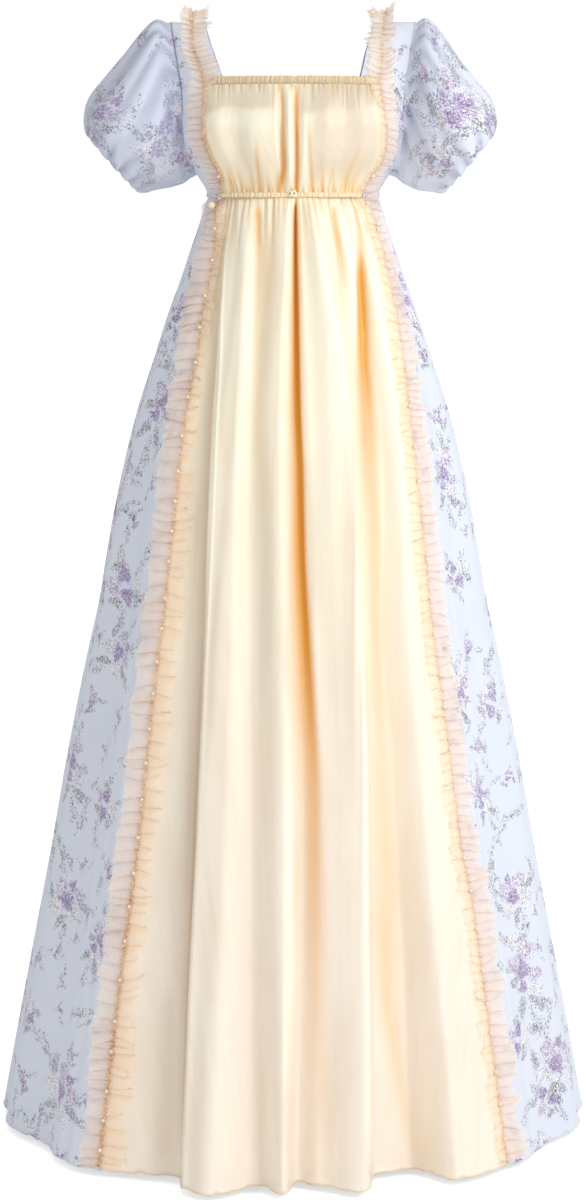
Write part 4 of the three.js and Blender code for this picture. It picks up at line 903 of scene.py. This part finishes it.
def skirt_front():
    cols, rows = n(300), n(200)
    pts, tints, low = [], [], []
    for z in skirt_rows(rows):
        ang = seam_l(z) + (seam_r(z) - seam_l(z)) * np.linspace(0, 1, cols)
        pts.append(ring(ang, z, True))
        tint = bands(SKIRT_BANDS, ang, z, True)[1]
        # painted shade in the waist gathers
        tint["tan"] = np.maximum(tint["tan"], 0.85 * gather_shade(ang, z))
        tints.append(tint)
        low.append(np.full(cols, smooth((-400 - z) / 800)))
    pts = tucked(rolled(np.array(pts)))
    attrs = {k: np.array([q[k] for q in tints]) for k in tints[0]}
    attrs["low"] = np.array(low)
    attrs["painted_grey_shade"] = np.zeros_like(attrs["low"])
    for k in attrs:
        attrs[k] = np.concatenate([attrs[k][:1], attrs[k]] + [attrs[k][-1:]] * 5, 0)
    # painted shade over the rolled hem
    attrs["tan"][-5:] = np.maximum(attrs["tan"][-5:], 0.45)
    uv = lengths(pts)
    uv[..., 0] -= uv[:, cols // 2, 0][:, None]
    obj = grid_mesh("satin_skirt_front", pts, uv, attrs)
    return finish_piece(obj, SATIN, "satin", "skirt_front")


def print_skirt(name, a0, a1, cols, rows, seed, node):
    pts = []
    for z in skirt_rows(rows):
        pts.append(ring(a0(z) + (a1(z) - a0(z)) * np.linspace(0, 1, cols), z, True))
    pts = tucked(rolled(np.array(pts)))
    uv = lengths(pts)
    obj = grid_mesh(name, pts, uv, extra(pts.shape[:2], **flora(pts, uv, seed, True, 1.35)))
    return finish_piece(obj, PRINT, "print", node)


skirt_front()
print_skirt("print_skirt_side_l", lambda z: -90, seam_l, n(130), n(400), 1, "skirt_side_l")
print_skirt("print_skirt_side_r", seam_r, lambda z: 90, n(130), n(400), 4, "skirt_side_r")
print_skirt("print_skirt_back_r", lambda z: 90, lambda z: 180, n(170), n(230), 7, "skirt_back_r")
print_skirt("print_skirt_back_l", lambda z: 180, lambda z: 270, n(170), n(230), 2, "skirt_back_l")


# ------------------------------------------------------------------ casings
def casing(name, a0, a1, z_top, z_low, cols, mat, slot, node, base_z, crimp, swell, tan=0.0, painted_grey_shade=0.0):
    rows = 9
    ang = np.linspace(a0, a1, cols)
    rng = np.random.RandomState(5)
    p0 = ring(ang, base_z, False, False)
    away = ring(ang, base_z, False, False, out=1.0) - p0
    run = np.concatenate([[0], np.cumsum(np.linalg.norm(np.diff(p0, axis=0), axis=1))])
    knots = np.arange(0, run[-1] + 8, 4.0)
    phase = run + np.interp(run, knots, 5.0 * rng.rand(len(knots)))
    tall = np.interp(run, knots, rng.rand(len(knots)) ** 1.3)
    wave = tall * np.sin(phase * 2 * np.pi / 5.4) + 0.4 * (1.2 - tall) * np.sin(phase * 2 * np.pi / 2.6)
    pts = []
    for r in range(rows):
        t = r / (rows - 1)
        d = 0.4 + swell * math.sin(math.pi * t) + crimp * (0.5 + 0.5 * math.sin(math.pi * t)) * wave
        p = p0 + away * d[:, None]
        p[:, 2] = z_top + (z_low - z_top) * t + 0.9 * wave * (1 if r == 0 else -0.6 if r == rows - 1 else 0.4 * math.cos(math.pi * t))
        pts.append(p)
    pts = np.array(pts)
    z = np.zeros(pts.shape[:2])
    dip = np.broadcast_to(np.clip(-wave, 0, 1), z.shape)
    edge = np.abs(np.linspace(-1, 1, rows))[:, None] ** 3
    uv = lengths(pts)
    # painted shade: the crimp dips and the band edges darker, with a flat painted shade over the neck casing; seam
    # here carries the painted shade in the dips
    attrs = {"tan": np.clip(tan + 0.5 * dip + 0.3 * edge, 0, 1), "painted_grey_shade": z + painted_grey_shade, "seam": 0.25 * dip, "shade": z}
    if mat is PRINT:
        attrs.update(flora(pts, uv, 3, False))
    obj = grid_mesh(name, pts, uv, attrs)
    return finish_piece(obj, mat, slot, node)


casing("satin_waist_casing", -54, 51, -212.6, -218.4, n(560), SATIN, "satin", "waist_casing_front", WAIST_TOP_Z, 1.1, 0.5, 0.24)
casing("print_waist_casing", 51, 306, -212.6, -218.4, n(800), PRINT, "print", "waist_casing_back", WAIST_TOP_Z, 1.0, 0.5)
casing("satin_neck_casing", seam_l(-76), seam_r(-76), NECK_Z, NECK_BOTTOM_Z, n(600), SATIN, "satin", "neck_casing_front",
       -76, 0.8, 1.1, 0.14, 0.95)


# ------------------------------------------------------------------ bodice
def bodice_front():
    rows, cols = n(170), n(240)
    pts, tints, painted_grey_shade, tan = [], [], [], []
    for z in np.linspace(NECK_BOTTOM_Z - 0.2, WAIST_TOP_Z, rows):
        a0, a1 = seam_l(z), seam_r(z)
        ang = a0 + (a1 - a0) * np.linspace(0, 1, cols)
        pts.append(ring(ang, z, False))
        tint = bands(BODICE_BANDS, ang, z, False)[1]
        low = z - WAIST_TOP_Z
        # painted shade: the bodice above a wavy line across the upper chest darker, less in the pleats, a little more
        # towards the top
        line = z + 112 + 3.0 * np.sin(np.radians(ang) * 7 + 1) + 2.0 * np.sin(np.radians(ang) * 17 + 0.4)
        pleat = np.exp(-((ang + 1.5) / 6.0) ** 4)
        painted_grey_shade.append((0.6 * smooth(line / 14 + 0.5) + 0.4 * smooth(line / 4 + 0.5)) * (0.46 - 0.34 * pleat) + 0.10 * smooth((z + 150) / 30))
        step = per_degree((a0 + a1) / 2, z, False) * 0.8
        # painted shade along the ruffle seams and in the creases
        rim = np.exp(-((ang - a0) * step / 2.2) ** 2) + np.exp(-((a1 - ang) * step / 2.2) ** 2)
        tint["tan"] = np.clip(np.maximum(tint["tan"], 0.8 * rim) + fine_bodice(ang, z)[1] * (0.55 + 0.35 * smooth((40 - low) / 30)), 0, 1)
        # painted highlight: a bright band across the bust under the shaded upper bodice
        tint["light"] = np.maximum(tint["light"], (0.55 - 0.5 * smooth((ang - 4) / 6)) * np.exp(-((z + 125) / 14.0) ** 2) * (1 - rim) * (1 - pleat) * smooth(-line / 6 + 0.5))
        # painted shade over the lower right of the bodice
        tint["painted_cool_shade"] = np.maximum(tint["painted_cool_shade"], 0.7 * smooth((ang - 5) / 8) * smooth((a1 - 2 - ang) / 6) * smooth((low + 4) / 40))
        tints.append(tint)
    pts = np.array(pts)
    attrs = {k: np.array([q[k] for q in tints]) for k in tints[0]}
    attrs["painted_grey_shade"] = np.array(painted_grey_shade)
    attrs["low"] = np.zeros(pts.shape[:2])
    obj = grid_mesh("satin_bodice_front", pts, lengths(pts), attrs)
    return finish_piece(obj, SATIN, "satin", "bodice_front")


bodice_front()


def torso_rows():
    low = np.linspace(WAIST_TOP_Z, NECK_Z, n(84))
    t = np.linspace(0, 1, n(56))[1:]
    return np.concatenate([low, NECK_Z * (1 - t) ** 2.0])


def bodice_side(side):
    sign = -1 if side == "l" else 1
    outer, inner = n(56), n(22)
    pts, keep, seam = [], [], []
    for z in torso_rows():
        stitch = abs(seam_l(z) if side == "l" else seam_r(z))
        edge = arm_line(z)
        strap = float(col(STRAP, z, 1 if side == "l" else 2))
        ang = np.concatenate([np.linspace(edge, stitch, outer), np.linspace(stitch, strap, inner)[1:]])
        pts.append(ring(ang * sign, min(z, -0.02), False))
        keep.append(np.concatenate([np.ones(outer - 1, bool), np.full(inner - 1, z >= NECK_Z - 0.5)]))
        mm = (edge - ang) * per_degree(edge, min(z, -0.5), False)
        seam.append((0.85 if side == "l" else 0.4) * np.exp(-((mm / 1.5) ** 2)) * (smooth((z + 125) / 15) if z > UNDERARM_Z else 0))
    pts = np.array(pts)
    uv = lengths(pts)
    attrs = extra(pts.shape[:2], **flora(pts, uv, 5 if side == "l" else 9))
    attrs["seam"] = np.array(seam)
    obj = grid_mesh("print_bodice_side_" + side, pts, uv, attrs, mask=np.array(keep)[:-1])
    return finish_piece(obj, PRINT, "print", "bodice_side_" + side)


bodice_side("l")
bodice_side("r")


def bodice_back():
    outer, middle = n(46), n(90)
    pts, keep = [], []
    for z in torso_rows():
        edge = arm_line(z)
        left, right = float(col(STRAP, z, 1)), float(col(STRAP, z, 2))
        ang = np.concatenate([np.linspace(180 - edge, 180 - right, outer), np.linspace(180 - right, 180 + left, middle)[1:],
                              np.linspace(180 + left, 180 + edge, outer)[1:]])
        p = ring(ang, min(z, -0.02), False)
        low = z - WAIST_TOP_Z
        m = ring(ang, min(z, -0.02), False, True, 1.0) - p
        p += m * (2.0 * math.exp(-low / 26) * smooth(low / 4) * ripple(np.radians(ang), [0.9, 2.6, 5.0], 34))[:, None]
        pts.append(p)
        keep.append(np.concatenate([np.ones(outer - 1, bool), np.full(middle - 1, z < BACK_NECK_Z), np.ones(outer - 1, bool)]))
    pts = np.array(pts)
    uv = lengths(pts)
    obj = grid_mesh("print_bodice_back", pts, uv, extra(pts.shape[:2], **flora(pts, uv, 6, False)), mask=np.array(keep)[:-1])
    return finish_piece(obj, PRINT, "print", "bodice_back")


bodice_back()


# ------------------------------------------------------------------ sleeves
# folds that run down from the cap: turn at the cap, turn where they die, half width deg, depth mm, reach in rings
SLEEVE_FOLDS = {
    "l": [(62, 96, 9, 5.0, 4.6), (44, 62, 7, 4.0, 3.4), (30, 30, 8, 4.5, 4.0), (14, 4, 7, 3.5, 3.0), (-6, -26, 9, 4.5, 4.2),
          (-28, -52, 8, 4.0, 3.6), (80, 120, 8, 3.5, 3.6), (100, 130, 7, 2.5, 3.0), (-55, -80, 9, 4.0, 4.0), (-85, -110, 9, 3.5, 4.0)],
    "r": [(70, 104, 9, 4.6, 4.6), (50, 70, 8, 4.2, 3.4), (34, 36, 7, 3.4, 4.0), (16, 10, 8, 3.0, 3.0), (-8, -30, 9, 4.5, 4.2),
          (-30, -56, 8, 4.0, 3.6), (92, 130, 8, 4.2, 4.4), (112, 140, 7, 3.0, 3.0), (-58, -84, 9, 4.0, 4.0), (-88, -114, 9, 3.5, 4.0)],
}
# valleys between the lobes at the arm opening: turn, half width deg, depth mm
SLEEVE_LOBES = {
    "l": [(4, 6, 5), (38, 8, 6), (66, 7, 7), (92, 7, 7), (116, 6, 7), (138, 6, 6), (158, 5, 5), (180, 6, 5), (-150, 7, 6),
          (-122, 8, 7), (-92, 8, 7), (-60, 8, 6), (-28, 7, 6)],
    "r": [(8, 6, 5), (44, 8, 6), (74, 8, 7), (104, 7, 7), (128, 6, 6), (152, 6, 6), (176, 6, 5), (-152, 7, 6),
          (-124, 8, 7), (-94, 8, 7), (-62, 8, 6), (-26, 7, 6)],
}


def sleeve(side):
    sign = -1 if side == "l" else 1
    reach = SLEEVE_REACH[side]
    up = np.concatenate([np.linspace(UNDERARM_Z, -20, 40), -20 * (1 - np.linspace(0, 1, 16)[1:]) ** 2])
    up[-1] = -0.02
    front = np.array([ring([sign * arm_line(z)], z, False)[0] for z in up])
    back = np.array([ring([sign * (180 - arm_line(z))], z, False)[0] for z in up[::-1]])
    cols = n(280)
    turn = np.linspace(180, -180, cols, endpoint=False)

    def along(line, a):
        s = np.concatenate([[0], np.cumsum(np.linalg.norm(np.diff(line, axis=0), axis=1))])
        s /= s[-1]
        return np.stack([np.interp(a, s, line[:, k]) for k in range(3)], -1)

    ring0 = np.where((turn >= 0)[:, None], along(front, 1 - turn / 180), along(back, -turn / 180))
    rings = [ring0]
    rad = np.radians(turn)
    for k, (ox, oz, ix, iz, fr, bk, g) in enumerate(SLEEVE):
        out = np.array([sign * ox * reach, 0, oz])
        inn = np.array([sign * ix * (1 + (reach - 1) * k / 8), 0, iz])
        mid, arm = (out + inn) / 2, (out - inn) / 2
        c, s = np.cos(rad)[:, None], np.sin(rad)[:, None]
        depth = np.where(s > 0, fr, bk)
        rings.append(mid + arm * c + np.concatenate([0 * s, -depth * s, 0 * s], 1))
    rings = np.array(rings)
    centre = rings.mean(axis=1)

    def catmull(tab, v):
        i = int(min(max(math.floor(v), 0), len(tab) - 2))
        t = v - i
        p0, p1, p2, p3 = tab[max(i - 1, 0)], tab[i], tab[i + 1], tab[min(i + 2, len(tab) - 1)]
        return 0.5 * ((2 * p1) + (-p0 + p2) * t + (2 * p0 - 5 * p1 + 4 * p2 - p3) * t * t + (-p0 + 3 * p1 - 3 * p2 + p3) * t ** 3)

    rng = np.random.RandomState(3 if side == "l" else 8)
    cap = [(-80 + 160 * (k + 0.5 * rng.rand()) / 17, 2.6 + 1.8 * rng.rand(), 1.0 + 1.8 * rng.rand(), 0.7 + 0.9 * rng.rand()) for k in range(17)]
    cuff = [(-180 + 360 * (k + 0.6 * rng.rand()) / 30, 2.6 + 2.2 * rng.rand(), 1.0 + 1.8 * rng.rand()) for k in range(30)]
    vs = np.linspace(0, len(rings) - 1, n(140))
    pts, shade, seam = [], [], []
    for v in vs:
        p = catmull(rings, v)
        c = catmull(centre, v)
        away = p - c
        away /= np.linalg.norm(away, axis=1)[:, None] + 1e-9
        d = np.zeros(cols)
        # painted shade in the cap gathers, the folds and the lobe valleys
        painted_dark_shade = np.zeros(cols)
        for a, w, amp, far in cap:
            g = smooth(v / 0.3) * math.exp(-((v / far) ** 1.4)) * np.exp(-(((turn - a) / (w * (1 + 0.6 * v))) ** 2))
            d -= amp * g
            painted_dark_shade = np.maximum(painted_dark_shade, 0.35 * g)
        for a0, a1, w, amp, far in SLEEVE_FOLDS[side]:
            t = min(1.3, v / far)
            line = a0 + (a1 - a0) * t
            x = (turn - line + 180) % 360 - 180
            f = smooth(v / 0.5) * max(0.0, 1 - t / 1.3) ** 0.8
            sharp = np.where(x < 0, np.exp(-((x / (w * 0.55)) ** 2)), np.exp(-((x / (w * 1.5)) ** 2)))
            d -= 1.45 * amp * f * sharp
            d += 0.8 * amp * f * np.exp(-(((x + w * 1.7) / w) ** 2))
            painted_dark_shade = np.maximum(painted_dark_shade, 0.5 * f * sharp)
        low = smooth((v - 3.2) / 3.2)
        drop = np.zeros(cols)
        for a, w, amp in SLEEVE_LOBES[side]:
            x = (turn - a + 180) % 360 - 180
            g = np.exp(-np.abs(x / w) ** 1.5)
            d -= amp * low * g * (1 if v < 8 else 0.6)
            drop += 3.2 * low * g
            painted_dark_shade = np.maximum(painted_dark_shade, 0.4 * low * g)
        for a, w, amp in cuff:
            x = (turn - a + 180) % 360 - 180
            d -= amp * smooth((v - 5.2) / 2) * np.exp(-((x / w) ** 2))
        d += 2.2 * math.sin(math.pi * min(1, v / 7)) * (np.sin(rad * 3 + v * 0.8 + sign) * 0.6 + 0.5 * np.sin(rad * 5 - v * 0.5 + 2 * sign)
                                                         + 0.35 * np.sin(rad * 11 + v * 1.3))
        q = p + away * d[:, None]
        q[:, 2] += drop
        pts.append(q)
        shade.append(painted_dark_shade)
        seam.append(np.full(cols, (0.55 if side == "l" else 0.2) * math.exp(-((v / 0.10) ** 2))) * (turn > 15) * (turn < 120))
    pts = np.array(pts)
    uv = lengths(pts)
    attrs = extra(pts.shape[:2], **flora(pts, uv, 8 if side == "l" else 12, grow=1.55))
    # painted shade: the left sleeve darker all over, on the side away from the key light
    attrs["shade"] = np.clip(np.array(shade) + (0.22 if side == "l" else 0.0), 0, 1)
    attrs["seam"] = np.array(seam)
    obj = grid_mesh("print_sleeve_" + side, pts, uv, attrs, closed=True)
    return finish_piece(obj, PRINT, "print", "sleeve_" + side)


sleeve("l")
sleeve("r")


# ------------------------------------------------------------------ ruffles
def surface_point(side, z, w):
    """Body points and normals at w mm from the ruffle's stitch line, plus w towards the side seam."""
    sign = -1 if side == "l" else 1
    skirt = z < (WAIST_TOP_Z + WAIST_LOW_Z) / 2
    seam = seam_l(z) if side == "l" else seam_r(z)
    zz = min(z, -0.4)
    step = per_degree(seam, zz, skirt)
    ang = seam + sign * np.asarray(w) / step
    if z > UNDERARM_Z:
        ang = np.clip(ang, -(arm_line(z) - 1.0), arm_line(z) - 1.0)
    p = ring(ang, zz, skirt)
    nrm = ring(ang, zz, skirt, True, 1.0) - p
    if z > NECK_Z:  # near the shoulder the cloth turns up
        hi, lo = min(zz + 0.6, -0.05), zz - 0.6
        up = ring(ang, hi, skirt, False) - ring(ang, lo, skirt, False)
        across = ring(ang + 0.4, zz, skirt, False) - ring(ang - 0.4, zz, skirt, False)
        m = np.cross(across, up)
        m /= np.linalg.norm(m, axis=1)[:, None] + 1e-9
        k = smooth((z - NECK_Z) / 20)
        nrm = nrm * (1 - k) + m * k
    return p, nrm / (np.linalg.norm(nrm, axis=1)[:, None] + 1e-9)


HALF = 34.0


def ruffle(side):
    tab = RUFFLES[side]
    dense = np.concatenate([-16 * (1 - np.linspace(1, 0, 20)) ** 2, np.linspace(-16, HEM_Z + 1, 320)[1:]])
    ws = np.linspace(-HALF, HALF, 17)
    both = [surface_point(side, z, ws) for z in dense]
    at_p, at_n = np.array([q[0] for q in both]), np.array([q[1] for q in both])
    mid = at_p[:, 8]
    s = np.concatenate([[0], np.cumsum(np.linalg.norm(np.diff(mid, axis=0), axis=1))])
    total = s[-1]
    rng = np.random.RandomState(21 if side == "l" else 34)

    def sized(x, k):
        return np.interp(-np.interp(x, s, dense), -tab[:, 0], tab[:, k])

    # pleats, one after another: start, length, fold-back, where the fold comes, lean and reach
    per = 10
    cols_of = {k: [] for k in ("path", "back", "phase", "swell", "turn", "painted_dark_shade", "far_o", "far_i", "jit", "height")}
    pos = 0.0
    while pos < total:
        length = float(sized(pos, 4)) * (0.45 + 0.95 * rng.rand())
        length = min(length, max(total - pos, 3.0))
        fold = (0.16 + 0.20 * rng.rand() ** 0.8) * min(length, 17)
        if rng.rand() < 0.14:
            fold = 0.06 * length
        own = {"back": fold, "swell": 0.6 + 0.8 * rng.rand(), "turn": 0.34 + 0.3 * rng.rand(), "painted_dark_shade": 0.25 + 0.75 * rng.rand() ** 1.4,
               "far_o": 1 + (0.34 if side == "l" else 0.52) * (rng.rand() - 0.5), "far_i": 1 + 0.5 * (rng.rand() - 0.5), "height": 0.55 + 0.9 * rng.rand()}
        for k in range(per):
            u = k / per
            cols_of["path"].append(pos + length * u)
            cols_of["phase"].append(u)
            cols_of["jit"].append(rng.rand() - 0.5)
            for key, value in own.items():
                cols_of[key].append(value)
        pos += length
    path, back, phase, swell, turn_at, painted_dark_shade, far_o, far_i, jit, height = (
        np.array(cols_of[k]) for k in ("path", "back", "phase", "swell", "turn", "painted_dark_shade", "far_o", "far_i", "jit", "height"))

    def soft(v):  # eases one pleat's value into the next
        w = np.array([1, 2, 3, 2, 1], float) / 9
        return np.convolve(np.pad(v, 2, mode="edge"), w, mode="valid")

    far_o, far_i, height = soft(far_o), soft(far_i), soft(height)
    jit2 = np.roll(jit, 7)
    outer, inner, stand = sized(path, 1), sized(path, 2), sized(path, 3)
    zs = np.interp(path, s, dense)
    bod = smooth((zs + 219) / 12)  # the lobed stretch beside the bodice and over the shoulder
    loops = smooth((zs + 219) / 6) if side == "l" else np.maximum(bod, 0.75)
    lean = np.interp(path, np.linspace(0, total, 90), rng.rand(90)) - 0.5
    lean2 = np.interp(path, np.linspace(0, total, 150), rng.rand(150)) - 0.5
    deep = (0.72 if side == "l" else 0.42) + 0.5 * smooth((-zs - 880) / 250) * (1.0 if side == "l" else 0.3)
    cols = 12
    ks = np.concatenate([np.linspace(1, 0, cols, endpoint=False), np.linspace(0, -1, cols + 1)])
    shape = (len(path), len(ks))
    pts = np.zeros(shape + (3,))
    line, crest_highlight = np.zeros(shape), np.zeros(shape)
    for j, k in enumerate(ks):
        r = abs(k)
        out_wing = k >= 0
        ph = phase if out_wing else (phase + 0.37 + 0.5 * lean) % 1.0
        w = (outer * far_o if out_wing else -inner * far_i) * r
        lobes = np.abs(np.sin(np.pi * ph))
        cut = (0.10 + 0.18 * bod) if out_wing else (0.09 + 0.18 * loops)
        w = w * (1 + r * cut * (lobes * swell - 0.55))
        grow = 0.3 + 0.7 * r
        slide = back * grow * np.sin(2 * np.pi * ph) + (16.0 * lean + 8.0 * lean2) * r * r
        edge = turn_at
        high = 1 - smooth((ph - edge + 0.08) / 0.16) + smooth((ph - edge - 0.14) / (0.86 - edge))
        off = stand if out_wing else 0.5 * stand
        tall = (1.0 + 0.42 * off * r) * height
        lift = 1.2 + stand * 0.12 * (1 - r) + off * 0.32 * r + tall * (high - 0.45)
        lift = lift + off * 0.45 * r * r * (0.3 + 0.9 * np.abs(lean2) + 0.3 * np.sin(path / 9.0 + 2 * lean))
        near = math.exp(-((r / 0.20) ** 2))  # crinkles over the stitches
        lift = lift + 1.5 * (jit + 0.5) * near
        slide = slide + 1.6 * jit2 * near
        w = w + 1.7 * jit * near
        tuft = np.exp(-path / 11.0)
        lift = lift + tuft * (9.0 + 3.0 * r + 2.6 * np.sin(4.6 * k + 1.3 * path) + 2.0 * np.sin(9.5 * k - path))
        where = np.clip(path + slide, 0, total)
        fi = np.interp(where, s, np.arange(len(s)))
        i0 = np.clip(fi.astype(int), 0, len(s) - 2)
        fr = (fi - i0)[:, None]
        wi = np.clip((w + HALF) / (2 * HALF) * 16, 0, 15.999)
        j0 = wi.astype(int)
        fw = (wi - j0)[:, None]
        p = (at_p[i0, j0] * (1 - fw) + at_p[i0, j0 + 1] * fw) * (1 - fr) + (at_p[i0 + 1, j0] * (1 - fw) + at_p[i0 + 1, j0 + 1] * fw) * fr
        m = (at_n[i0, j0] * (1 - fw) + at_n[i0, j0 + 1] * fw) * (1 - fr) + (at_n[i0 + 1, j0] * (1 - fw) + at_n[i0 + 1, j0 + 1] * fw) * fr
        pts[:, j] = p + m * np.maximum(lift, 0.9)[:, None]
        # painted shade along each pleat's fold, where the tulle also lies in more layers
        line[:, j] = (1.0 if out_wing else 0.45) * np.exp(-(((ph - edge - 0.02) / 0.11) ** 2)) * painted_dark_shade * np.clip(back / 2.4, 0.25, 1.0) * (1.0 - 0.45 * r)
        # painted highlight on the raised crests
        crest_highlight[:, j] = np.clip(high, 0, 1) ** 2 * (0.35 + 0.65 * r) * (0.5 + 0.5 * swell)
    rr = np.broadcast_to(np.abs(ks)[None, :], shape)
    over = np.broadcast_to(np.where(ks >= 0, smooth(ks / 0.2), 0.0)[None, :], shape)
    reach = np.where(ks >= 0, outer[:, None], inner[:, None])
    attrs = {"line": line, "crest_highlight": crest_highlight, "stitch": np.exp(-((rr * reach / 3.4) ** 2)) * deep[:, None], "over": over, "rim": rr}
    obj = grid_mesh("tulle_ruffle_" + side, pts, lengths(pts), attrs)
    finish_piece(obj, TULLE, "tulle", "ruffle_" + side)
    return at_p, at_n, s


def sphere_template(rings=7, seg=10):
    vs, fs = [(0, 0, 1)], []
    for i in range(1, rings):
        th = math.pi * i / rings
        for j in range(seg):
            ph = 2 * math.pi * j / seg
            vs.append((math.sin(th) * math.cos(ph), math.sin(th) * math.sin(ph), math.cos(th)))
    vs.append((0, 0, -1))
    for j in range(seg):
        fs.append((0, 1 + j, 1 + (j + 1) % seg))
    for i in range(rings - 2):
        for j in range(seg):
            a, b = 1 + i * seg + j, 1 + i * seg + (j + 1) % seg
            fs.append((a, a + seg, b + seg, b))
    last = len(vs) - 1
    for j in range(seg):
        fs.append((last, 1 + (rings - 2) * seg + (j + 1) % seg, 1 + (rings - 2) * seg + j))
    return np.array(vs), fs


def pearls(side, data):
    at_p, at_n, s = data
    vs, fs = sphere_template()
    verts, faces = [], []
    rng = np.random.RandomState(2 if side == "l" else 6)
    pos = 240.0
    while pos < s[-1] - 8:
        fi = np.interp(pos, s, np.arange(len(s)))
        i0 = min(int(fi), len(s) - 2)
        p = at_p[i0, 8] + (at_p[i0 + 1, 8] - at_p[i0, 8]) * (fi - i0) + at_n[i0, 8] * 4.4
        r = 2.1 + 0.4 * rng.rand()
        base = len(verts)
        verts.extend((vs * r + p) * MM)
        faces.extend(tuple(base + i for i in f) for f in fs)
        pos += 36 + 16 * rng.rand()
    return finish_piece(loose_mesh("seed_pearls_" + side, verts, faces), PEARL, "pearl")


for _side in ("l", "r"):
    pearls(_side, ruffle(_side))
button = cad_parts["pearl_waist_l"]
button.data.materials.clear()
button.data.materials.append(PEARL)


# ------------------------------------------------------------------ the small twist of satin on the waist
def knot():
    c = ring([-0.4], WAIST_TOP_Z, False, False)[0]
    seg, tube = 72, 8
    verts, faces = [], []
    for i in range(seg):
        t = 2 * math.pi * i / seg
        path = np.array([4.2 * math.sin(t), -2.6 - 1.2 * math.cos(2 * t), 3.4 * math.sin(2 * t)])
        t2 = t + 0.01
        ahead = np.array([4.2 * math.sin(t2), -2.6 - 1.2 * math.cos(2 * t2), 3.4 * math.sin(2 * t2)]) - path
        ahead /= np.linalg.norm(ahead)
        side_v = np.cross(ahead, [0, 1, 0])
        side_v /= np.linalg.norm(side_v) + 1e-9
        up = np.cross(side_v, ahead)
        for j in range(tube):
            a = 2 * math.pi * j / tube
            r = 1.3 + 0.3 * math.sin(3 * a + 5 * t)
            q = c + path + (side_v * math.cos(a) + up * math.sin(a)) * r
            q[2] -= 1.0
            verts.append(q * MM)
    for i in range(seg):
        for j in range(tube):
            k = (i + 1) % seg
            faces.append((i * tube + j, i * tube + (j + 1) % tube, k * tube + (j + 1) % tube, k * tube + j))
    return finish_piece(loose_mesh("satin_waist_twist", verts, faces), SATIN, "satin")


knot()


# ------------------------------------------------------------------ light and camera
world = bpy.data.worlds.new("studio")
SCN.world = world
world.use_nodes = True
world.node_tree.nodes.clear()
wt = Tree(world.node_tree)
wo = wt.node("ShaderNodeOutputWorld")
lamp = wt.node("ShaderNodeBackground")
lamp.inputs["Color"].default_value = (1, 1, 1, 1)
lamp.inputs["Strength"].default_value = 0.60
seen = wt.node("ShaderNodeBackground")
seen.inputs["Color"].default_value = (1, 1, 1, 1)
seen.inputs["Strength"].default_value = 1.02
lp = wt.node("ShaderNodeLightPath")
wm = wt.node("ShaderNodeMixShader")
wt.put(wm.inputs[0], lp.outputs["Is Camera Ray"])
wt.put(wm.inputs[1], lamp.outputs[0])
wt.put(wm.inputs[2], seen.outputs[0])
wt.put(wo.inputs[0], wm.outputs[0])


def area(name, loc, target, size, power, colour=(1, 1, 1)):
    data = bpy.data.lights.new(name, "AREA")
    data.shape = "RECTANGLE"
    data.size, data.size_y = size
    data.energy = power
    data.color = colour
    o = bpy.data.objects.new(name, data)
    SCN.collection.objects.link(o)
    o.location = loc
    o.rotation_euler = (Vector(target) - Vector(loc)).to_track_quat("-Z", "Y").to_euler()
    return o


area("key", (2.7, -2.6, 1.5), (0, 0, -0.7), (1.5, 2.4), 74)
area("sleeve key", (2.4, -0.7, 0.6), (0.27, 0, -0.08), (0.9, 0.9), 7)
area("low key", (1.8, -3.2, -0.9), (0, 0, -0.9), (0.9, 1.2), 6)
area("fill", (-2.6, -3.0, -0.2), (0, 0, -0.75), (1.0, 2.2), 12)


# ------------------------------------------------------------------ the floor, just clear of the hem
def floor():
    z = HEM_Z * MM - 0.012
    me = bpy.data.meshes.new("floor")
    me.from_pydata([(-30, -8, z), (30, -8, z), (30, 60, z), (-30, 60, z)], [], [(0, 1, 2, 3)])
    o = bpy.data.objects.new("floor", me)
    SCN.collection.objects.link(o)
    mat, t, out = new_material("floor_white")
    b = t.node("ShaderNodeBsdfPrincipled")
    mottle = t.noise(t.node("ShaderNodeTexCoord").outputs["Object"], 3.0, 2, 0.5).outputs["Fac"]
    t.put(b.inputs["Base Color"], t.mix(mottle, (0.94, 0.94, 0.94, 1), (0.96, 0.96, 0.96, 1)))
    b.inputs["Roughness"].default_value = 0.9
    b.inputs["Specular IOR Level"].default_value = 0.1
    b.inputs["Emission Color"].default_value = (1, 1, 1, 1)
    t.put(b.inputs["Emission Strength"], t.math("MULTIPLY", t.node("ShaderNodeLightPath").outputs["Is Camera Ray"], 0.62))
    t.put(out.inputs[0], b.outputs[0])
    me.materials.append(mat)


floor()

cam = bpy.data.cameras.new("camera")
cam.sensor_fit = "AUTO"
cam.sensor_width = 36.0
cam.lens = 84.28
co = bpy.data.objects.new("camera", cam)
SCN.collection.objects.link(co)
co.location = (0, -3.6, -0.23)
co.rotation_euler = (math.radians(90 - 7.97), 0, 0)
SCN.camera = co
SCN.view_settings.view_transform = "Standard"
